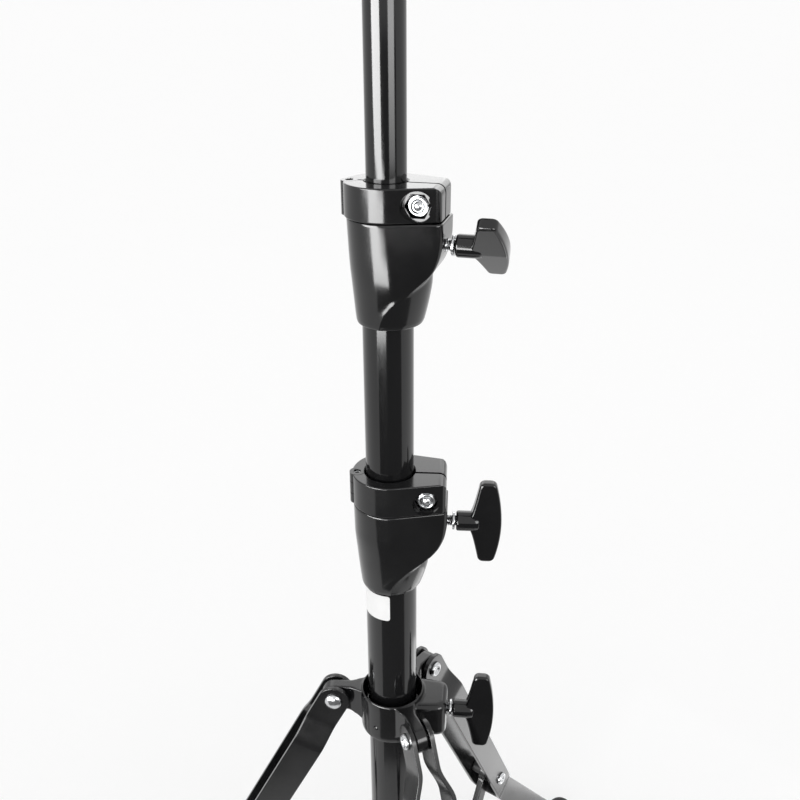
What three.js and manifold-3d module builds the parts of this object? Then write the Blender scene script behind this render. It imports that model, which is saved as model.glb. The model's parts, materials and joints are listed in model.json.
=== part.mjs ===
// A three-section telescopic tripod stand: round tubes, cast height locks with wing screws,
// and three folding double-strip legs with braces. Millimetres, +Z up, standing on Z = 0.
import * as THREE from 'three';
import { mergeVertices } from 'three/addons/utils/BufferGeometryUtils.js';
import Module from 'manifold-3d';

const wasm = await Module();
wasm.setup();

// ---------------------------------------------------------------- driving dimensions
const GAP = 0.3; // air between two pieces that touch
const CORNER = 0.8; // small chamfer on cast and moulded edges
const DEG = Math.PI / 180;
const WIDE = 24; // sides of a tube or a casting
const FINE = 10; // sides of a screw, rivet or hole
const MEDIUM = 14; // sides of a knob hub, washer or eye
const ARC = 4; // steps in an outline's round stretch

const LOWER = { r: 14.3, wall: 1.2, z0: 17, z1: 505 };
const MID = { r: 12.7, wall: 1.2, z0: 196, z1: 659 };
const TOP = { r: 9.525, wall: 1.2, z0: 376, z1: 960 };

const SCREW_R = 3; // M6 threads everywhere
const SCREW_HOLE_R = SCREW_R + GAP;

// The two height locks. ear: corner of the ring's ears; boltFace: depth of the ears at the bolt;
// boltRise: height of the bolt over the middle of the ring;
// hub: start of the knob. body: the receiver in stages of height (0 at the bottom, 1 at the top), each
// with its radius, how far it bulges towards the nose, and the corner that its nose reaches.
const LOCKS = {
  lower: {
    outer: LOWER, inner: MID, azimuth: -4, wingTurn: 90, boltX: 20, boltFace: 16, boltRise: -1.6,
    hub: 35.7, ear: [30.2, 14.5], nose: 31, bodyZ: 473.3, seamZ: 525.5, ringHeight: 17.6,
    body: [
      [0, 16.2, 0.5, 0.8, 17], [0.12, 16.9, 1.9, 1.6, 18.4], [0.28, 17.7, 3.2, 7.9, 18.7],
      [0.46, 18.5, 3.2, 20.9, 15.3], [0.56, 19.0, 2.8, 26, 14.2], [0.66, 19.4, 2.2, 29, 13.3],
      [0.78, 19.5, 1.4, 30.6, 13], [1, 19.7, 0, 31, 13],
    ],
  },
  upper: {
    outer: MID, inner: TOP, azimuth: -15, wingTurn: -40, boltX: 18, boltFace: 14.9, boltRise: -0.5,
    hub: 33.5, ear: [28.4, 12.4], nose: 29.3, bodyZ: 627.5, seamZ: 679.4, ringHeight: 15.8,
    body: [
      [0, 15.2, 2.4, 0, 17], [0.09, 15.7, 3.1, 1.6, 17.9], [0.21, 16.2, 4.0, 5.3, 18.5],
      [0.28, 16.5, 4.4, 8.8, 18.1], [0.395, 17.0, 4.8, 16.4, 14.6], [0.54, 17.7, 4.0, 24.3, 12.2],
      [0.66, 18.1, 2.9, 27.4, 12], [0.78, 18.4, 1.8, 28.9, 12.5], [1, 18.9, 0, 29.3, 12.8],
    ],
  },
};
const RING_R = 20; // round back of both clamp rings
const EAR_CORNER = 3.6; // rounding of the ears' corners
const EAR_TOP = 3.7; // rounding of the ears' upper end
const RECESS_R = 7.1; // round recess for the nut
const NUT_SUNK = 1.9; // outer face of the nut below the ear's face
const SPLIT_Y = -2; // the ring's split lies this far in front of the tube axis
const SPLIT_GAP = 1.6;
const HINGE_X = -17.2;
const HINGE_PIN_R = 1.8;
const KNUCKLE_R = 4.1;
const WING_DROP = 12.6; // wing screw axis below the ring seam
const NUT_FLATS = 10;
const NUT_THICK = 4.5;

// Folding base
const LEG_AZIMUTHS = [54, 174, 294];
const COLLAR = {
  z0: 367.7, z1: 394.3, r: 19, boreR: 15, mouthR: 16.8, bossX: 33, bossHalf: 12.5, hub: 36.5,
};
const COLLAR_WING_AZIMUTH = -6;
const COLLAR_WING_TURN = 84;
const EAR = { half: 3.4, round: 8.2 };
const LEG_PIVOT = { r: 35.2, z: 385.4 };
const LEG_SLOPE = 63; // degrees below horizontal, upper stretch
const FOOT_SLOPE = 52; // the same, below the bend
const STRIP = { wide: 19, thick: 2.8, nearEar: 4.2, spread: 10.2, nearFoot: 6.2 };
const JOGGLE = [16, 37]; // where the strips spread, measured from the pivot
const BRACE_AT = 190;
const BEND = [202, 226];
const LEG_STRAIGHT_END = 442; // end of the strips, measured along the leg
const FOOT = { r: 281, baseR: 14, topR: 11.5, height: 27 };
const RIVET_R = 3;
const RIVET_HEAD = { r: 5.2, h: 2.3 };
const STRIP_END_PAST_RIVET = 1; // from the foot rivet to the centre of the strip's round end

const HUB_PIVOT = { r: 28, z: 33 };
const HUB = { z0: 24, z1: 42, r: 18.6, round: 6.5 };
const HUB_EAR_HALF = 3.2;
const BRACE = { half: 2.5, wide: 11, bushR: 5, forkFrom: 26, forkWall: 2.6 };

const SPIGOT = { r: 17.5, z0: 928, z1: 1014, flangeR: 32, flangeH: 5 };

// ---------------------------------------------------------------- finishes
const finish = (color, roughness, metalness) =>
  new THREE.MeshStandardMaterial({ color, roughness, metalness });
const LOOK = {
  tube: () => finish(0x101112, 0.3, 0.6),
  cast: () => finish(0x141415, 0.38, 0.2),
  strip: () => finish(0x18191a, 0.35, 0.4),
  knob: () => finish(0x0c0c0d, 0.3, 0),
  chrome: () => finish(0xd6d8da, 0.15, 1),
  nylon: () => finish(0x17181a, 0.6, 0),
  rubber: () => finish(0x151515, 0.85, 0),
};

// ---------------------------------------------------------------- solids
function facesOut(geometry) {
  const shell = geometry.clone();
  shell.deleteAttribute('normal');
  shell.deleteAttribute('uv');
  const merged = mergeVertices(shell, 1e-4);
  const place = merged.getAttribute('position').array;
  const corners = Array.from(merged.index.array);
  const kept = [];
  let volume = 0;
  const a = new THREE.Vector3();
  const b = new THREE.Vector3();
  const c = new THREE.Vector3();
  for (let i = 0; i < corners.length; i += 3) {
    const [p, q, r] = corners.slice(i, i + 3);
    if (p === q || q === r || r === p) continue;
    kept.push(p, q, r);
    a.fromArray(place, 3 * p);
    b.fromArray(place, 3 * q);
    c.fromArray(place, 3 * r);
    volume += a.dot(b.cross(c));
  }
  if (volume < 0) {
    for (let i = 0; i < kept.length; i += 3) [kept[i], kept[i + 1]] = [kept[i + 1], kept[i]];
  }
  return { place: new Float32Array(place), corners: new Uint32Array(kept) };
}

function manifoldOf(geometry) {
  const { place, corners } = facesOut(geometry);
  return new wasm.Manifold(new wasm.Mesh({ numProp: 3, vertProperties: place, triVerts: corners }));
}

function geometryOf(manifold) {
  const mesh = manifold.getMesh();
  const geometry = new THREE.BufferGeometry();
  geometry.setAttribute('position', new THREE.BufferAttribute(new Float32Array(mesh.vertProperties), 3));
  geometry.setIndex(new THREE.BufferAttribute(new Uint32Array(mesh.triVerts), 1));
  return geometry;
}

const fold = (step) => (first, ...others) =>
  geometryOf(others.map(manifoldOf).reduce((sum, next) => sum[step](next), manifoldOf(first)));
const join = fold('add');
const cut = fold('subtract');
const overlap = fold('intersect');

// Revolved about Z from [radius, height] pairs; the profile closes on itself or on the axis.
function turned(profile, sides = WIDE) {
  const points = profile.map(([r, z]) => new THREE.Vector2(r, z));
  return new THREE.LatheGeometry(points, sides).rotateX(Math.PI / 2);
}

const rod = (r, z0, z1, sides = MEDIUM) => turned([[0, z0], [r, z0], [r, z1], [0, z1]], sides);

const pipe = (ri, ro, z0, z1, sides = WIDE) =>
  turned([[ri, z0], [ro, z0], [ro, z1], [ri, z1], [ri, z0]], sides);

const rodY = (r, y0, y1, x, z, sides = MEDIUM) =>
  rod(r, y0, y1, sides).rotateX(-Math.PI / 2).translate(x, 0, z);

const rodX = (r, x0, x1, z, sides = MEDIUM) =>
  rod(r, x0, x1, sides).rotateY(Math.PI / 2).translate(0, 0, z);

const block = (x0, x1, y0, y1, z0, z1) =>
  new THREE.BoxGeometry(x1 - x0, y1 - y0, z1 - z0)
    .translate((x0 + x1) / 2, (y0 + y1) / 2, (z0 + z1) / 2);

function outlineOf(points) {
  return new THREE.Shape(points.map(([x, y]) => new THREE.Vector2(x, y)));
}

// A plan outline raised from z0 to z1.
function raised(shape, z0, z1, curveSegments = ARC) {
  const solid = new THREE.ExtrudeGeometry(shape, { depth: z1 - z0, bevelEnabled: false, curveSegments });
  return solid.translate(0, 0, z0);
}

// An outline in the X-Z plane, thickened from y0 to y1.
function upright(shape, y0, y1, curveSegments = ARC) {
  const solid = new THREE.ExtrudeGeometry(shape, { depth: y1 - y0, bevelEnabled: false, curveSegments });
  return solid.rotateX(Math.PI / 2).translate(0, y1, 0);
}

// A slot-shaped plate outline: a straight bar with two round ends.
function roundEnded(x0, x1, half) {
  const shape = new THREE.Shape();
  shape.moveTo(x0, -half);
  shape.lineTo(x1, -half);
  shape.absarc(x1, 0, half, -Math.PI / 2, Math.PI / 2);
  shape.lineTo(x0, half);
  shape.absarc(x0, 0, half, Math.PI / 2, 1.5 * Math.PI);
  return shape;
}

// A circle drawn out to two rounded corners at (reach, +-half) by straight flanks.
function nosedOutline(r, half, reach, corner) {
  const [x, y] = [reach - corner, half - corner];
  const start = Math.atan2(y, x) + Math.acos((r - corner) / Math.hypot(x, y));
  const shape = new THREE.Shape();
  shape.absarc(0, 0, r, start, 2 * Math.PI - start);
  shape.absarc(x, -y, corner, -start, 0);
  shape.absarc(x, y, corner, 0, start);
  return shape;
}

// Distance to that outline (with sharp corners) at an angle, from the circle's centre.
function nosedRadius(r, half, reach, angle) {
  const far = Math.hypot(reach, half);
  if (far <= r) return r;
  const corner = Math.atan2(half, reach);
  const swing = Math.acos(r / far);
  const turn = Math.abs(angle);
  if (turn >= corner + swing) return r;
  if (turn >= corner) return r / Math.cos(corner + swing - turn);
  if (corner <= swing) return reach / Math.cos(turn);
  return turn <= corner - swing ? r : r / Math.cos(turn - corner + swing);
}

// Closed skin over a stack of rings with equal numbers of points, all seen counter-clockwise.
function loft(rings) {
  const n = rings[0].length;
  const middle = (ring) => [0, 1, 2].map((k) => ring.reduce((sum, p) => sum + p[k], 0) / n);
  const points = [...rings.flat(), middle(rings[0]), middle(rings[rings.length - 1])];
  const corners = [];
  for (let i = 0; i < rings.length - 1; i += 1) {
    for (let j = 0; j < n; j += 1) {
      const [a, b, c, d] = [i * n + j, i * n + ((j + 1) % n), (i + 1) * n + ((j + 1) % n), (i + 1) * n + j];
      corners.push(a, b, c, a, c, d);
    }
  }
  const last = (rings.length - 1) * n;
  for (let j = 0; j < n; j += 1) {
    corners.push(points.length - 2, (j + 1) % n, j, points.length - 1, last + j, last + ((j + 1) % n));
  }
  const geometry = new THREE.BufferGeometry();
  geometry.setAttribute('position', new THREE.BufferAttribute(new Float32Array(points.flat()), 3));
  geometry.setIndex(corners);
  return geometry;
}

// Raised outline with a chamfer on its top and bottom edges.
function raisedSoft(shape, z0, z1, bevel = CORNER) {
  const solid = new THREE.ExtrudeGeometry(shape, {
    depth: z1 - z0 - 2 * bevel, bevelEnabled: true, bevelSegments: 1, bevelSize: bevel,
    bevelThickness: bevel, bevelOffset: -bevel, curveSegments: ARC,
  });
  return solid.translate(0, 0, z0 + bevel);
}

// ---------------------------------------------------------------- scene graph helpers
const stand = new THREE.Group();

function put(parent, name, geometry, look) {
  const { place, corners } = facesOut(geometry);
  const clean = new THREE.BufferGeometry();
  clean.setAttribute('position', new THREE.BufferAttribute(place, 3));
  clean.setIndex(new THREE.BufferAttribute(corners, 1));
  clean.computeVertexNormals();
  const mesh = new THREE.Mesh(clean, look());
  mesh.name = name;
  parent.add(mesh);
  return mesh;
}

function turnedGroup(azimuth) {
  const group = new THREE.Group();
  group.rotation.z = azimuth * DEG;
  stand.add(group);
  return group;
}

// ---------------------------------------------------------------- fasteners
// A round-headed rivet along Y through a stack that is 2 * grip thick.
function rivet(grip, sides = FINE) {
  const { r, h } = RIVET_HEAD;
  const dome = [[r, 0], [r * 0.9, h * 0.5], [r * 0.55, h * 0.9], [0, h]];
  const near = dome.map(([x, z]) => [x, z + grip + GAP]);
  const far = dome.map(([x, z]) => [x, -z - grip - GAP]).reverse();
  const shank = [[RIVET_R - GAP, -grip - GAP], [RIVET_R - GAP, grip + GAP]];
  return turned([...far, ...shank, ...near], sides).rotateX(-Math.PI / 2);
}

// One rivet head with a short shank, seated in a single strip; side is +1 or -1 along Y.
function rivetStub(inner, outer, side) {
  const { r, h } = RIVET_HEAD;
  const profile = [
    [0, inner], [RIVET_R - GAP, inner], [RIVET_R - GAP, outer + GAP], [r, outer + GAP],
    [r * 0.9, outer + GAP + h * 0.5], [r * 0.55, outer + GAP + h * 0.9], [0, outer + GAP + h],
  ];
  return turned(profile, FINE).rotateX((-side * Math.PI) / 2);
}

// ---------------------------------------------------------------- wing screws
// Knob along +X: a round hub that grows into two thinning wings with a crowned outer edge.
function wingKnob(hubStart) {
  const start = hubStart + 9;
  const [span, tipHalf, hubR, soft] = [24.6, 2.3, 5.5, 1];
  const stations = [-1, -0.95, -0.72, -0.42, -0.2, 0, 0.2, 0.42, 0.72, 0.95, 1];
  const wings = loft(stations.map((station) => {
    const out = Math.abs(station);
    const end = out === 1 ? 1.4 : 0;
    const near = start - 1.2 + 5.6 * Math.max(out - 0.2, 0) ** 0.8 + end;
    const far = start + 15.4 - 3.6 * out ** 2 - end;
    const half = tipHalf + (hubR - 0.2 - tipHalf) * Math.max(1 - out / 0.72, 0) - end / 2;
    const section = [
      [near + soft, -half], [far - soft, -half], [far, soft - half], [far, half - soft],
      [far - soft, half], [near + soft, half], [near, half - soft], [near, soft - half],
    ];
    return section.map(([x, z]) => [x, station * span, z]);
  }));
  const hub = rodX(hubR, hubStart, start + 2, 0, MEDIUM);
  const socket = rodX(SCREW_R + GAP, hubStart - 1, hubStart + 7, 0, FINE);
  return cut(join(wings, hub), socket);
}

function wingScrew(parent, name, hubStart, tipX, z, turn) {
  const holder = new THREE.Group();
  holder.position.z = z;
  holder.rotation.x = turn * DEG;
  parent.add(holder);
  const stud = rodX(SCREW_R, tipX, hubStart + 6, 0, FINE);
  const washer = rodX(5, hubStart - 2, hubStart - 0.7, 0, MEDIUM);
  put(holder, `${name}_wing_stud`, join(stud, washer), LOOK.chrome);
  put(holder, `${name}_wing_knob`, wingKnob(hubStart), LOOK.knob);
}

// ---------------------------------------------------------------- tubes
function tube({ r, wall, z0, z1 }) {
  return turned([
    [r - wall, z0], [r, z0], [r, z1], [r - wall, z1], [r - wall, z0],
  ], WIDE);
}

// ---------------------------------------------------------------- height locks
// Cast receiver: a tapered round body drawn out to a nose for the wing screw, whose underside
// sweeps back into the body. It seats on the end of the outer tube and holds the bushing.
function receiver({ outer, inner, bodyZ, seamZ, body, nose }) {
  const top = seamZ - GAP;
  const height = top - bodyZ;
  const sides = 32;
  const ring = ([, r, bulge, x, half], z, shrink = 0) =>
    Array.from({ length: sides }, (_, i) => {
      const turn = (i / sides) * 2 * Math.PI;
      const angle = turn > Math.PI ? turn - 2 * Math.PI : turn;
      const away = nosedRadius(r + bulge / 2, half, x - bulge / 2, angle) - shrink;
      return [bulge / 2 + away * Math.cos(turn), away * Math.sin(turn), z];
    });
  const first = body[0];
  const last = body[body.length - 1];
  const rings = body.slice(1, -1).map((stage) => ring(stage, bodyZ + stage[0] * height));
  const skin = loft([
    ring(first, bodyZ, CORNER), ring(first, bodyZ + CORNER), ...rings,
    ring(last, top - CORNER), ring(last, top, CORNER),
  ]);
  const seat = rod(outer.r + GAP, bodyZ - 1, outer.z1 + GAP, WIDE);
  const pocket = rod(bushingR(inner, outer) + GAP, outer.z1 - 1, seamZ - 2.2, WIDE);
  const mouth = rod(inner.r + 1, seamZ - 5, seamZ + 1, WIDE);
  const thread = rodX(SCREW_HOLE_R, 2, nose + 5, seamZ - WING_DROP, FINE);
  return cut(skin, seat, pocket, mouth, thread);
}

const bushingR = (inner, outer) => Math.max(inner.r + 2.2, outer.r - 0.8);

// Split nylon bushing that the wing screw presses on the sliding tube.
function bushing({ outer, inner, seamZ }) {
  const ring = pipe(inner.r + GAP, bushingR(inner, outer), outer.z1 + 2 * GAP, seamZ - 2.5, WIDE);
  return cut(ring, block(-30, 0, -0.9, 0.9, outer.z1 - 5, seamZ));
}

// Both halves of the clamp ring, cut from one outline by the split, joined at the hinge.
function ringHalves({ inner, seamZ, ringHeight, ear, boltX, boltFace, boltRise }) {
  const z0 = seamZ;
  const z1 = seamZ + ringHeight;
  const knuckle = 0.3 * ringHeight;
  const profile = new THREE.Shape();
  profile.moveTo(-60, z0 - 1);
  profile.lineTo(ear[0] + 0.01, z0 - 1);
  profile.absarc(ear[0] + 0.01 - EAR_TOP, z1 + 0.01 - EAR_TOP, EAR_TOP, 0, Math.PI / 2);
  profile.lineTo(-60, z1 + 0.01);
  const whole = cut(
    overlap(raisedSoft(nosedOutline(RING_R, ear[1], ear[0], EAR_CORNER), z0, z1), upright(profile, -60, 60)),
    turned([
      [0, z0 - 1], [inner.r + GAP, z0 - 1], [inner.r + GAP, z1 - 1.5], [inner.r + 1.2, z1 - 0.4],
      [inner.r + 1.2, z1 + 1], [0, z1 + 1],
    ], WIDE),
  );
  const splitLow = SPLIT_Y - SPLIT_GAP / 2;
  const splitHigh = SPLIT_Y + SPLIT_GAP / 2;
  const boltZ = (z0 + z1) / 2 + boltRise;
  const pinHole = rod(HINGE_PIN_R + GAP, z0 - 1, z1 + 1, FINE).translate(HINGE_X, SPLIT_Y, 0);
  const barrel = (r, a, b) => rod(r, a, b, MEDIUM).translate(HINGE_X, SPLIT_Y, 0);
  const frontFlat = overlap(whole, block(-60, 60, -60, splitLow, z0 - 1, z1 + 1));
  const rearFlat = overlap(whole, block(-60, 60, splitHigh, 60, z0 - 1, z1 + 1));
  const bore = rod(inner.r + GAP, z0 - 1, z1 + 1, WIDE);
  const front = cut(
    join(
      cut(frontFlat, barrel(KNUCKLE_R + GAP, z0 - 1, z0 + knuckle + GAP),
        barrel(KNUCKLE_R + GAP, z1 - knuckle - GAP, z1 + 1)),
      barrel(KNUCKLE_R, z0 + knuckle + GAP, z1 - knuckle - GAP),
    ),
    pinHole, bore,
    rodY(SCREW_HOLE_R + 0.3, -30, 0, boltX, boltZ),
    rodY(RECESS_R, -30, NUT_SUNK - boltFace, boltX, boltZ, MEDIUM),
    rodY(NUT_FLATS / Math.sqrt(3) + 0.5, -30, NUT_SUNK + NUT_THICK + GAP - boltFace, boltX, boltZ, 6),
  );
  const rear = cut(
    join(
      cut(rearFlat, barrel(KNUCKLE_R + GAP, z0 + knuckle, z1 - knuckle)),
      barrel(KNUCKLE_R, z0, z0 + knuckle),
      barrel(KNUCKLE_R, z1 - knuckle, z1),
    ),
    pinHole, bore,
    rodY(SCREW_HOLE_R, -10, 30, boltX, boltZ),
    rodY(6, boltFace - 3.6, 30, boltX, boltZ, MEDIUM),
  );
  return { front, rear };
}

function lock(name, spec) {
  const { seamZ, ringHeight, boltX, boltFace, boltRise, azimuth, hub, inner, outer, wingTurn } = spec;
  const group = turnedGroup(azimuth);
  put(group, `${name}_receiver`, receiver(spec), LOOK.cast);
  put(group, `${name}_bushing`, bushing(spec), LOOK.nylon);
  const { front, rear } = ringHalves(spec);
  put(group, `${name}_lock_front`, front, LOOK.cast);
  put(group, `${name}_lock_rear`, rear, LOOK.cast);
  const pin = rod(HINGE_PIN_R, seamZ + 0.6, seamZ + ringHeight - 0.4, FINE);
  put(group, `${name}_lock_pin`, pin.translate(HINGE_X, SPLIT_Y, 0), LOOK.chrome);
  const boltZ = seamZ + ringHeight / 2 + boltRise;
  const shank = rodY(SCREW_R - 0.1, NUT_SUNK - 0.4 - boltFace, boltFace - 2, boltX, boltZ, FINE);
  const head = rodY(5.2, boltFace - 3.3, boltFace + 0.1, boltX, boltZ, MEDIUM);
  const key = block(-1.6, 1.6, boltFace, boltFace + 5.4, -1.6, 1.6).translate(boltX, 0, boltZ);
  put(group, `${name}_lock_bolt`, join(shank, head, key), LOOK.chrome);
  const nutY = NUT_SUNK - boltFace;
  const nutBody = rodY(NUT_FLATS / Math.sqrt(3), nutY, nutY + NUT_THICK, boltX, boltZ, 6);
  const nutBore = rodY(SCREW_R + 0.5, -30, 0, boltX, boltZ, FINE);
  put(group, `${name}_lock_nut`, cut(nutBody, nutBore), LOOK.chrome);
  const studTip = bushingR(inner, outer) + 2 * GAP;
  wingScrew(group, name, hub, studTip, seamZ - WING_DROP, wingTurn);
}

// ---------------------------------------------------------------- sliding leg collar
function legCollar() {
  const { z0, z1, r, bossX, bossHalf } = COLLAR;
  const body = turned([
    [0, z0], [r - 2, z0], [r - 0.6, z0 + 1.4], [r, z0 + 4], [r, z1 - 3], [r - 0.8, z1], [0, z1],
  ], WIDE);
  const ears = LEG_AZIMUTHS.map((azimuth) => {
    const shape = roundEnded(10, LEG_PIVOT.r, EAR.round);
    const ear = upright(shape, -EAR.half, EAR.half).translate(0, 0, LEG_PIVOT.z);
    const web = block(8, LEG_PIVOT.r - 12, -EAR.half, EAR.half, z0 + 3, LEG_PIVOT.z);
    return join(ear, web).rotateZ(azimuth * DEG);
  });
  const plan = nosedOutline(r - 0.2, bossHalf, bossX, 5);
  const boss = raisedSoft(plan, z0 + 1.2, z1 - 3.5, 1.6).rotateZ(COLLAR_WING_AZIMUTH * DEG);
  const pivots = LEG_AZIMUTHS.map((azimuth) =>
    rodY(RIVET_R + GAP, -9, 9, LEG_PIVOT.r, LEG_PIVOT.z, FINE).rotateZ(azimuth * DEG));
  const bore = turned([
    [0, z0 - 1], [COLLAR.boreR, z0 - 1], [COLLAR.boreR, z1 - 7], [COLLAR.mouthR, z1 - 4.5],
    [COLLAR.mouthR, z1 + 1], [0, z1 + 1],
  ], WIDE);
  const thread = rodX(SCREW_HOLE_R, 8, bossX + 3, collarScrewZ(), FINE)
    .rotateZ(COLLAR_WING_AZIMUTH * DEG);
  return cut(join(body, ...ears, boss), bore, thread, ...pivots);
}

const collarScrewZ = () => (COLLAR.z0 + COLLAR.z1) / 2 - 0.5;

// ---------------------------------------------------------------- legs
// Leg frame: X runs down the upper stretch from the pivot, Z across the strip, Y sideways.
const LEG_BEND_AT = (BEND[0] + BEND[1]) / 2;
const BEND_ANGLE = (LEG_SLOPE - FOOT_SLOPE) * DEG;

function legSideOutline() {
  const half = STRIP.wide / 2;
  const lower = LEG_STRAIGHT_END - LEG_BEND_AT;
  const shift = half * Math.tan(BEND_ANGLE / 2);
  const along = [Math.cos(BEND_ANGLE), Math.sin(BEND_ANGLE)];
  const place = (s, w) => [
    LEG_BEND_AT + s * along[0] - w * along[1],
    s * along[1] + w * along[0],
  ];
  const end = place(lower - half, 0);
  const shape = new THREE.Shape();
  shape.moveTo(0, -half);
  shape.lineTo(BEND[0], -half);
  shape.quadraticCurveTo(LEG_BEND_AT + shift, -half, ...place(BEND[1] - LEG_BEND_AT, -half));
  shape.lineTo(...place(lower - half, -half));
  shape.absarc(end[0], end[1], half, BEND_ANGLE - Math.PI / 2, BEND_ANGLE + Math.PI / 2);
  shape.lineTo(...place(BEND[1] - LEG_BEND_AT, half));
  shape.quadraticCurveTo(LEG_BEND_AT - shift, half, BEND[0], half);
  shape.lineTo(0, half);
  shape.absarc(0, 0, half, Math.PI / 2, 1.5 * Math.PI);
  return shape;
}

// How far a strip's inner face stands from the leg's middle plane, along the leg.
function strip(side) {
  const { thick, nearEar, spread, nearFoot } = STRIP;
  const inner = [
    [-12, nearEar], [JOGGLE[0], nearEar], [JOGGLE[1], spread], [BEND[0], spread],
    [BEND[1], nearFoot], [470, nearFoot],
  ];
  const outer = inner.map(([s, n]) => [s, n + thick]).reverse();
  const ribbon = outlineOf([...inner, ...outer].map(([s, n]) => [s, side * n]));
  const plate = overlap(upright(legSideOutline(), -20, 20), raised(ribbon, -60, 100));
  return cut(
    plate,
    rodY(RIVET_R, -20, 20, 0, 0, FINE),
    rodY(RIVET_R, -20, 20, BRACE_AT, 0, FINE),
    rodY(RIVET_R, -20, 20, ...footRivetPlace(), FINE),
  );
}

function footRivetPlace() {
  const s = LEG_STRAIGHT_END - LEG_BEND_AT - STRIP.wide / 2 - STRIP_END_PAST_RIVET;
  return [LEG_BEND_AT + s * Math.cos(BEND_ANGLE), s * Math.sin(BEND_ANGLE)];
}

// Point of the leg frame, given in the upright plane of the leg: [radius, height].
function legPoint([s, w]) {
  const slope = LEG_SLOPE * DEG;
  return [
    LEG_PIVOT.r + s * Math.cos(slope) + w * Math.sin(slope),
    LEG_PIVOT.z - s * Math.sin(slope) + w * Math.cos(slope),
  ];
}

// Rubber foot: a tongue that the strips are riveted to, and a round pad flat on the floor.
function foot() {
  const { r, baseR, topR, height } = FOOT;
  const [rivetR, rivetZ] = legPoint(footRivetPlace());
  const slope = FOOT_SLOPE * DEG;
  const reach = 26;
  const tongueHalf = STRIP.nearFoot - GAP;
  const tongue = upright(roundEnded(-12, reach, 8.6), -tongueHalf, tongueHalf)
    .rotateY(slope).translate(rivetR, 0, rivetZ);
  const pad = turned([
    [0, 0], [baseR - 1.2, 0], [baseR, 1.4], [baseR, 6], [topR + 0.6, height - 5],
    [topR - 2, height - 1.4], [topR - 5, height], [0, height],
  ], MEDIUM).translate(r, 0, 0);
  const solid = join(tongue, pad);
  const floor = block(r - 60, r + 60, -40, 40, -60, 0);
  const stripRoom = [[tongueHalf, 30], [-30, -tongueHalf]].map(([low, high]) =>
    upright(roundEnded(-60, STRIP_END_PAST_RIVET, STRIP.wide / 2 + 0.4), low, high)
      .rotateY(slope).translate(rivetR, 0, rivetZ));
  const hole = rodY(RIVET_R, -20, 20, rivetR, rivetZ, FINE);
  return cut(solid, floor, hole, ...stripRoom);
}

function leg(index, azimuth) {
  const plane = turnedGroup(azimuth);
  const frame = new THREE.Group();
  frame.position.set(LEG_PIVOT.r, 0, LEG_PIVOT.z);
  frame.rotation.y = LEG_SLOPE * DEG;
  plane.add(frame);
  put(frame, `leg_${index}_strip_left`, strip(1), LOOK.strip);
  put(frame, `leg_${index}_strip_right`, strip(-1), LOOK.strip);
  put(frame, `leg_${index}_pivot_rivet`, rivet(STRIP.nearEar + STRIP.thick), LOOK.chrome);
  const { spread, thick } = STRIP;
  for (const [word, side] of [['left', 1], ['right', -1]]) {
    const stub = rivetStub(spread + 0.2, spread + thick, side).translate(BRACE_AT, 0, 0);
    put(frame, `leg_${index}_brace_rivet_${word}`, stub, LOOK.chrome);
  }
  put(plane, `leg_${index}_foot`, foot(), LOOK.rubber);
  const [x, z] = footRivetPlace();
  const end = rivet(STRIP.nearFoot + thick).translate(x, 0, z);
  put(frame, `leg_${index}_foot_rivet`, end, LOOK.chrome);
}

// ---------------------------------------------------------------- braces and lower hub
function brace(index, azimuth) {
  const plane = turnedGroup(azimuth);
  const [topR, topZ] = legPoint([BRACE_AT, 0]);
  const run = Math.hypot(topR - HUB_PIVOT.r, topZ - HUB_PIVOT.z);
  const frame = new THREE.Group();
  frame.position.set(HUB_PIVOT.r, 0, HUB_PIVOT.z);
  frame.rotation.y = -Math.atan2(topZ - HUB_PIVOT.z, topR - HUB_PIVOT.r);
  plane.add(frame);
  const side = roundEnded(0, run, BRACE.wide / 2);
  const { forkFrom, forkWall } = BRACE;
  // The lower end is a fork over the hub's ear, the upper end a single eye with its bush.
  const flat = upright(side, -BRACE.half, BRACE.half);
  const outerHalf = HUB_EAR_HALF + GAP + forkWall;
  const forkBlock = upright(roundEnded(0, forkFrom, BRACE.wide / 2), -outerHalf, outerHalf);
  const earRoom = block(-20, forkFrom - 6, -HUB_EAR_HALF - GAP, HUB_EAR_HALF + GAP, -20, 20);
  const holes = [rodY(RIVET_R, -20, 20, 0, 0, FINE), rodY(BRACE.bushR, -20, 20, run, 0, MEDIUM)];
  put(frame, `brace_${index}`, cut(join(flat, forkBlock), earRoom, ...holes), LOOK.strip);
  const bushHalf = STRIP.spread - GAP;
  const bush = pipe(RIVET_R + 0.1, BRACE.bushR - GAP, -bushHalf, bushHalf, MEDIUM)
    .rotateX(-Math.PI / 2).translate(run, 0, 0);
  put(frame, `brace_${index}_bush`, bush, LOOK.nylon);
  put(frame, `brace_${index}_hub_rivet`, rivet(outerHalf), LOOK.chrome);
}

function braceHub() {
  const { z0, z1, r, round } = HUB;
  const body = turned([
    [0, z0], [r - CORNER, z0], [r, z0 + CORNER], [r, z1 - CORNER], [r - CORNER, z1], [0, z1],
  ], WIDE);
  const ears = LEG_AZIMUTHS.map((azimuth) =>
    upright(roundEnded(8, HUB_PIVOT.r, round), -HUB_EAR_HALF, HUB_EAR_HALF)
      .translate(0, 0, HUB_PIVOT.z).rotateZ(azimuth * DEG));
  const pivots = LEG_AZIMUTHS.map((azimuth) =>
    rodY(RIVET_R, -9, 9, HUB_PIVOT.r, HUB_PIVOT.z, FINE).rotateZ(azimuth * DEG));
  const bore = rod(LOWER.r + GAP, z0 - 1, z1 + 1, WIDE);
  const screwHole = rodX(2.8, 8, 30, (z0 + z1) / 2, FINE).rotateZ(COLLAR_WING_AZIMUTH * DEG);
  return cut(join(body, ...ears), bore, screwHole, ...pivots);
}

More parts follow.
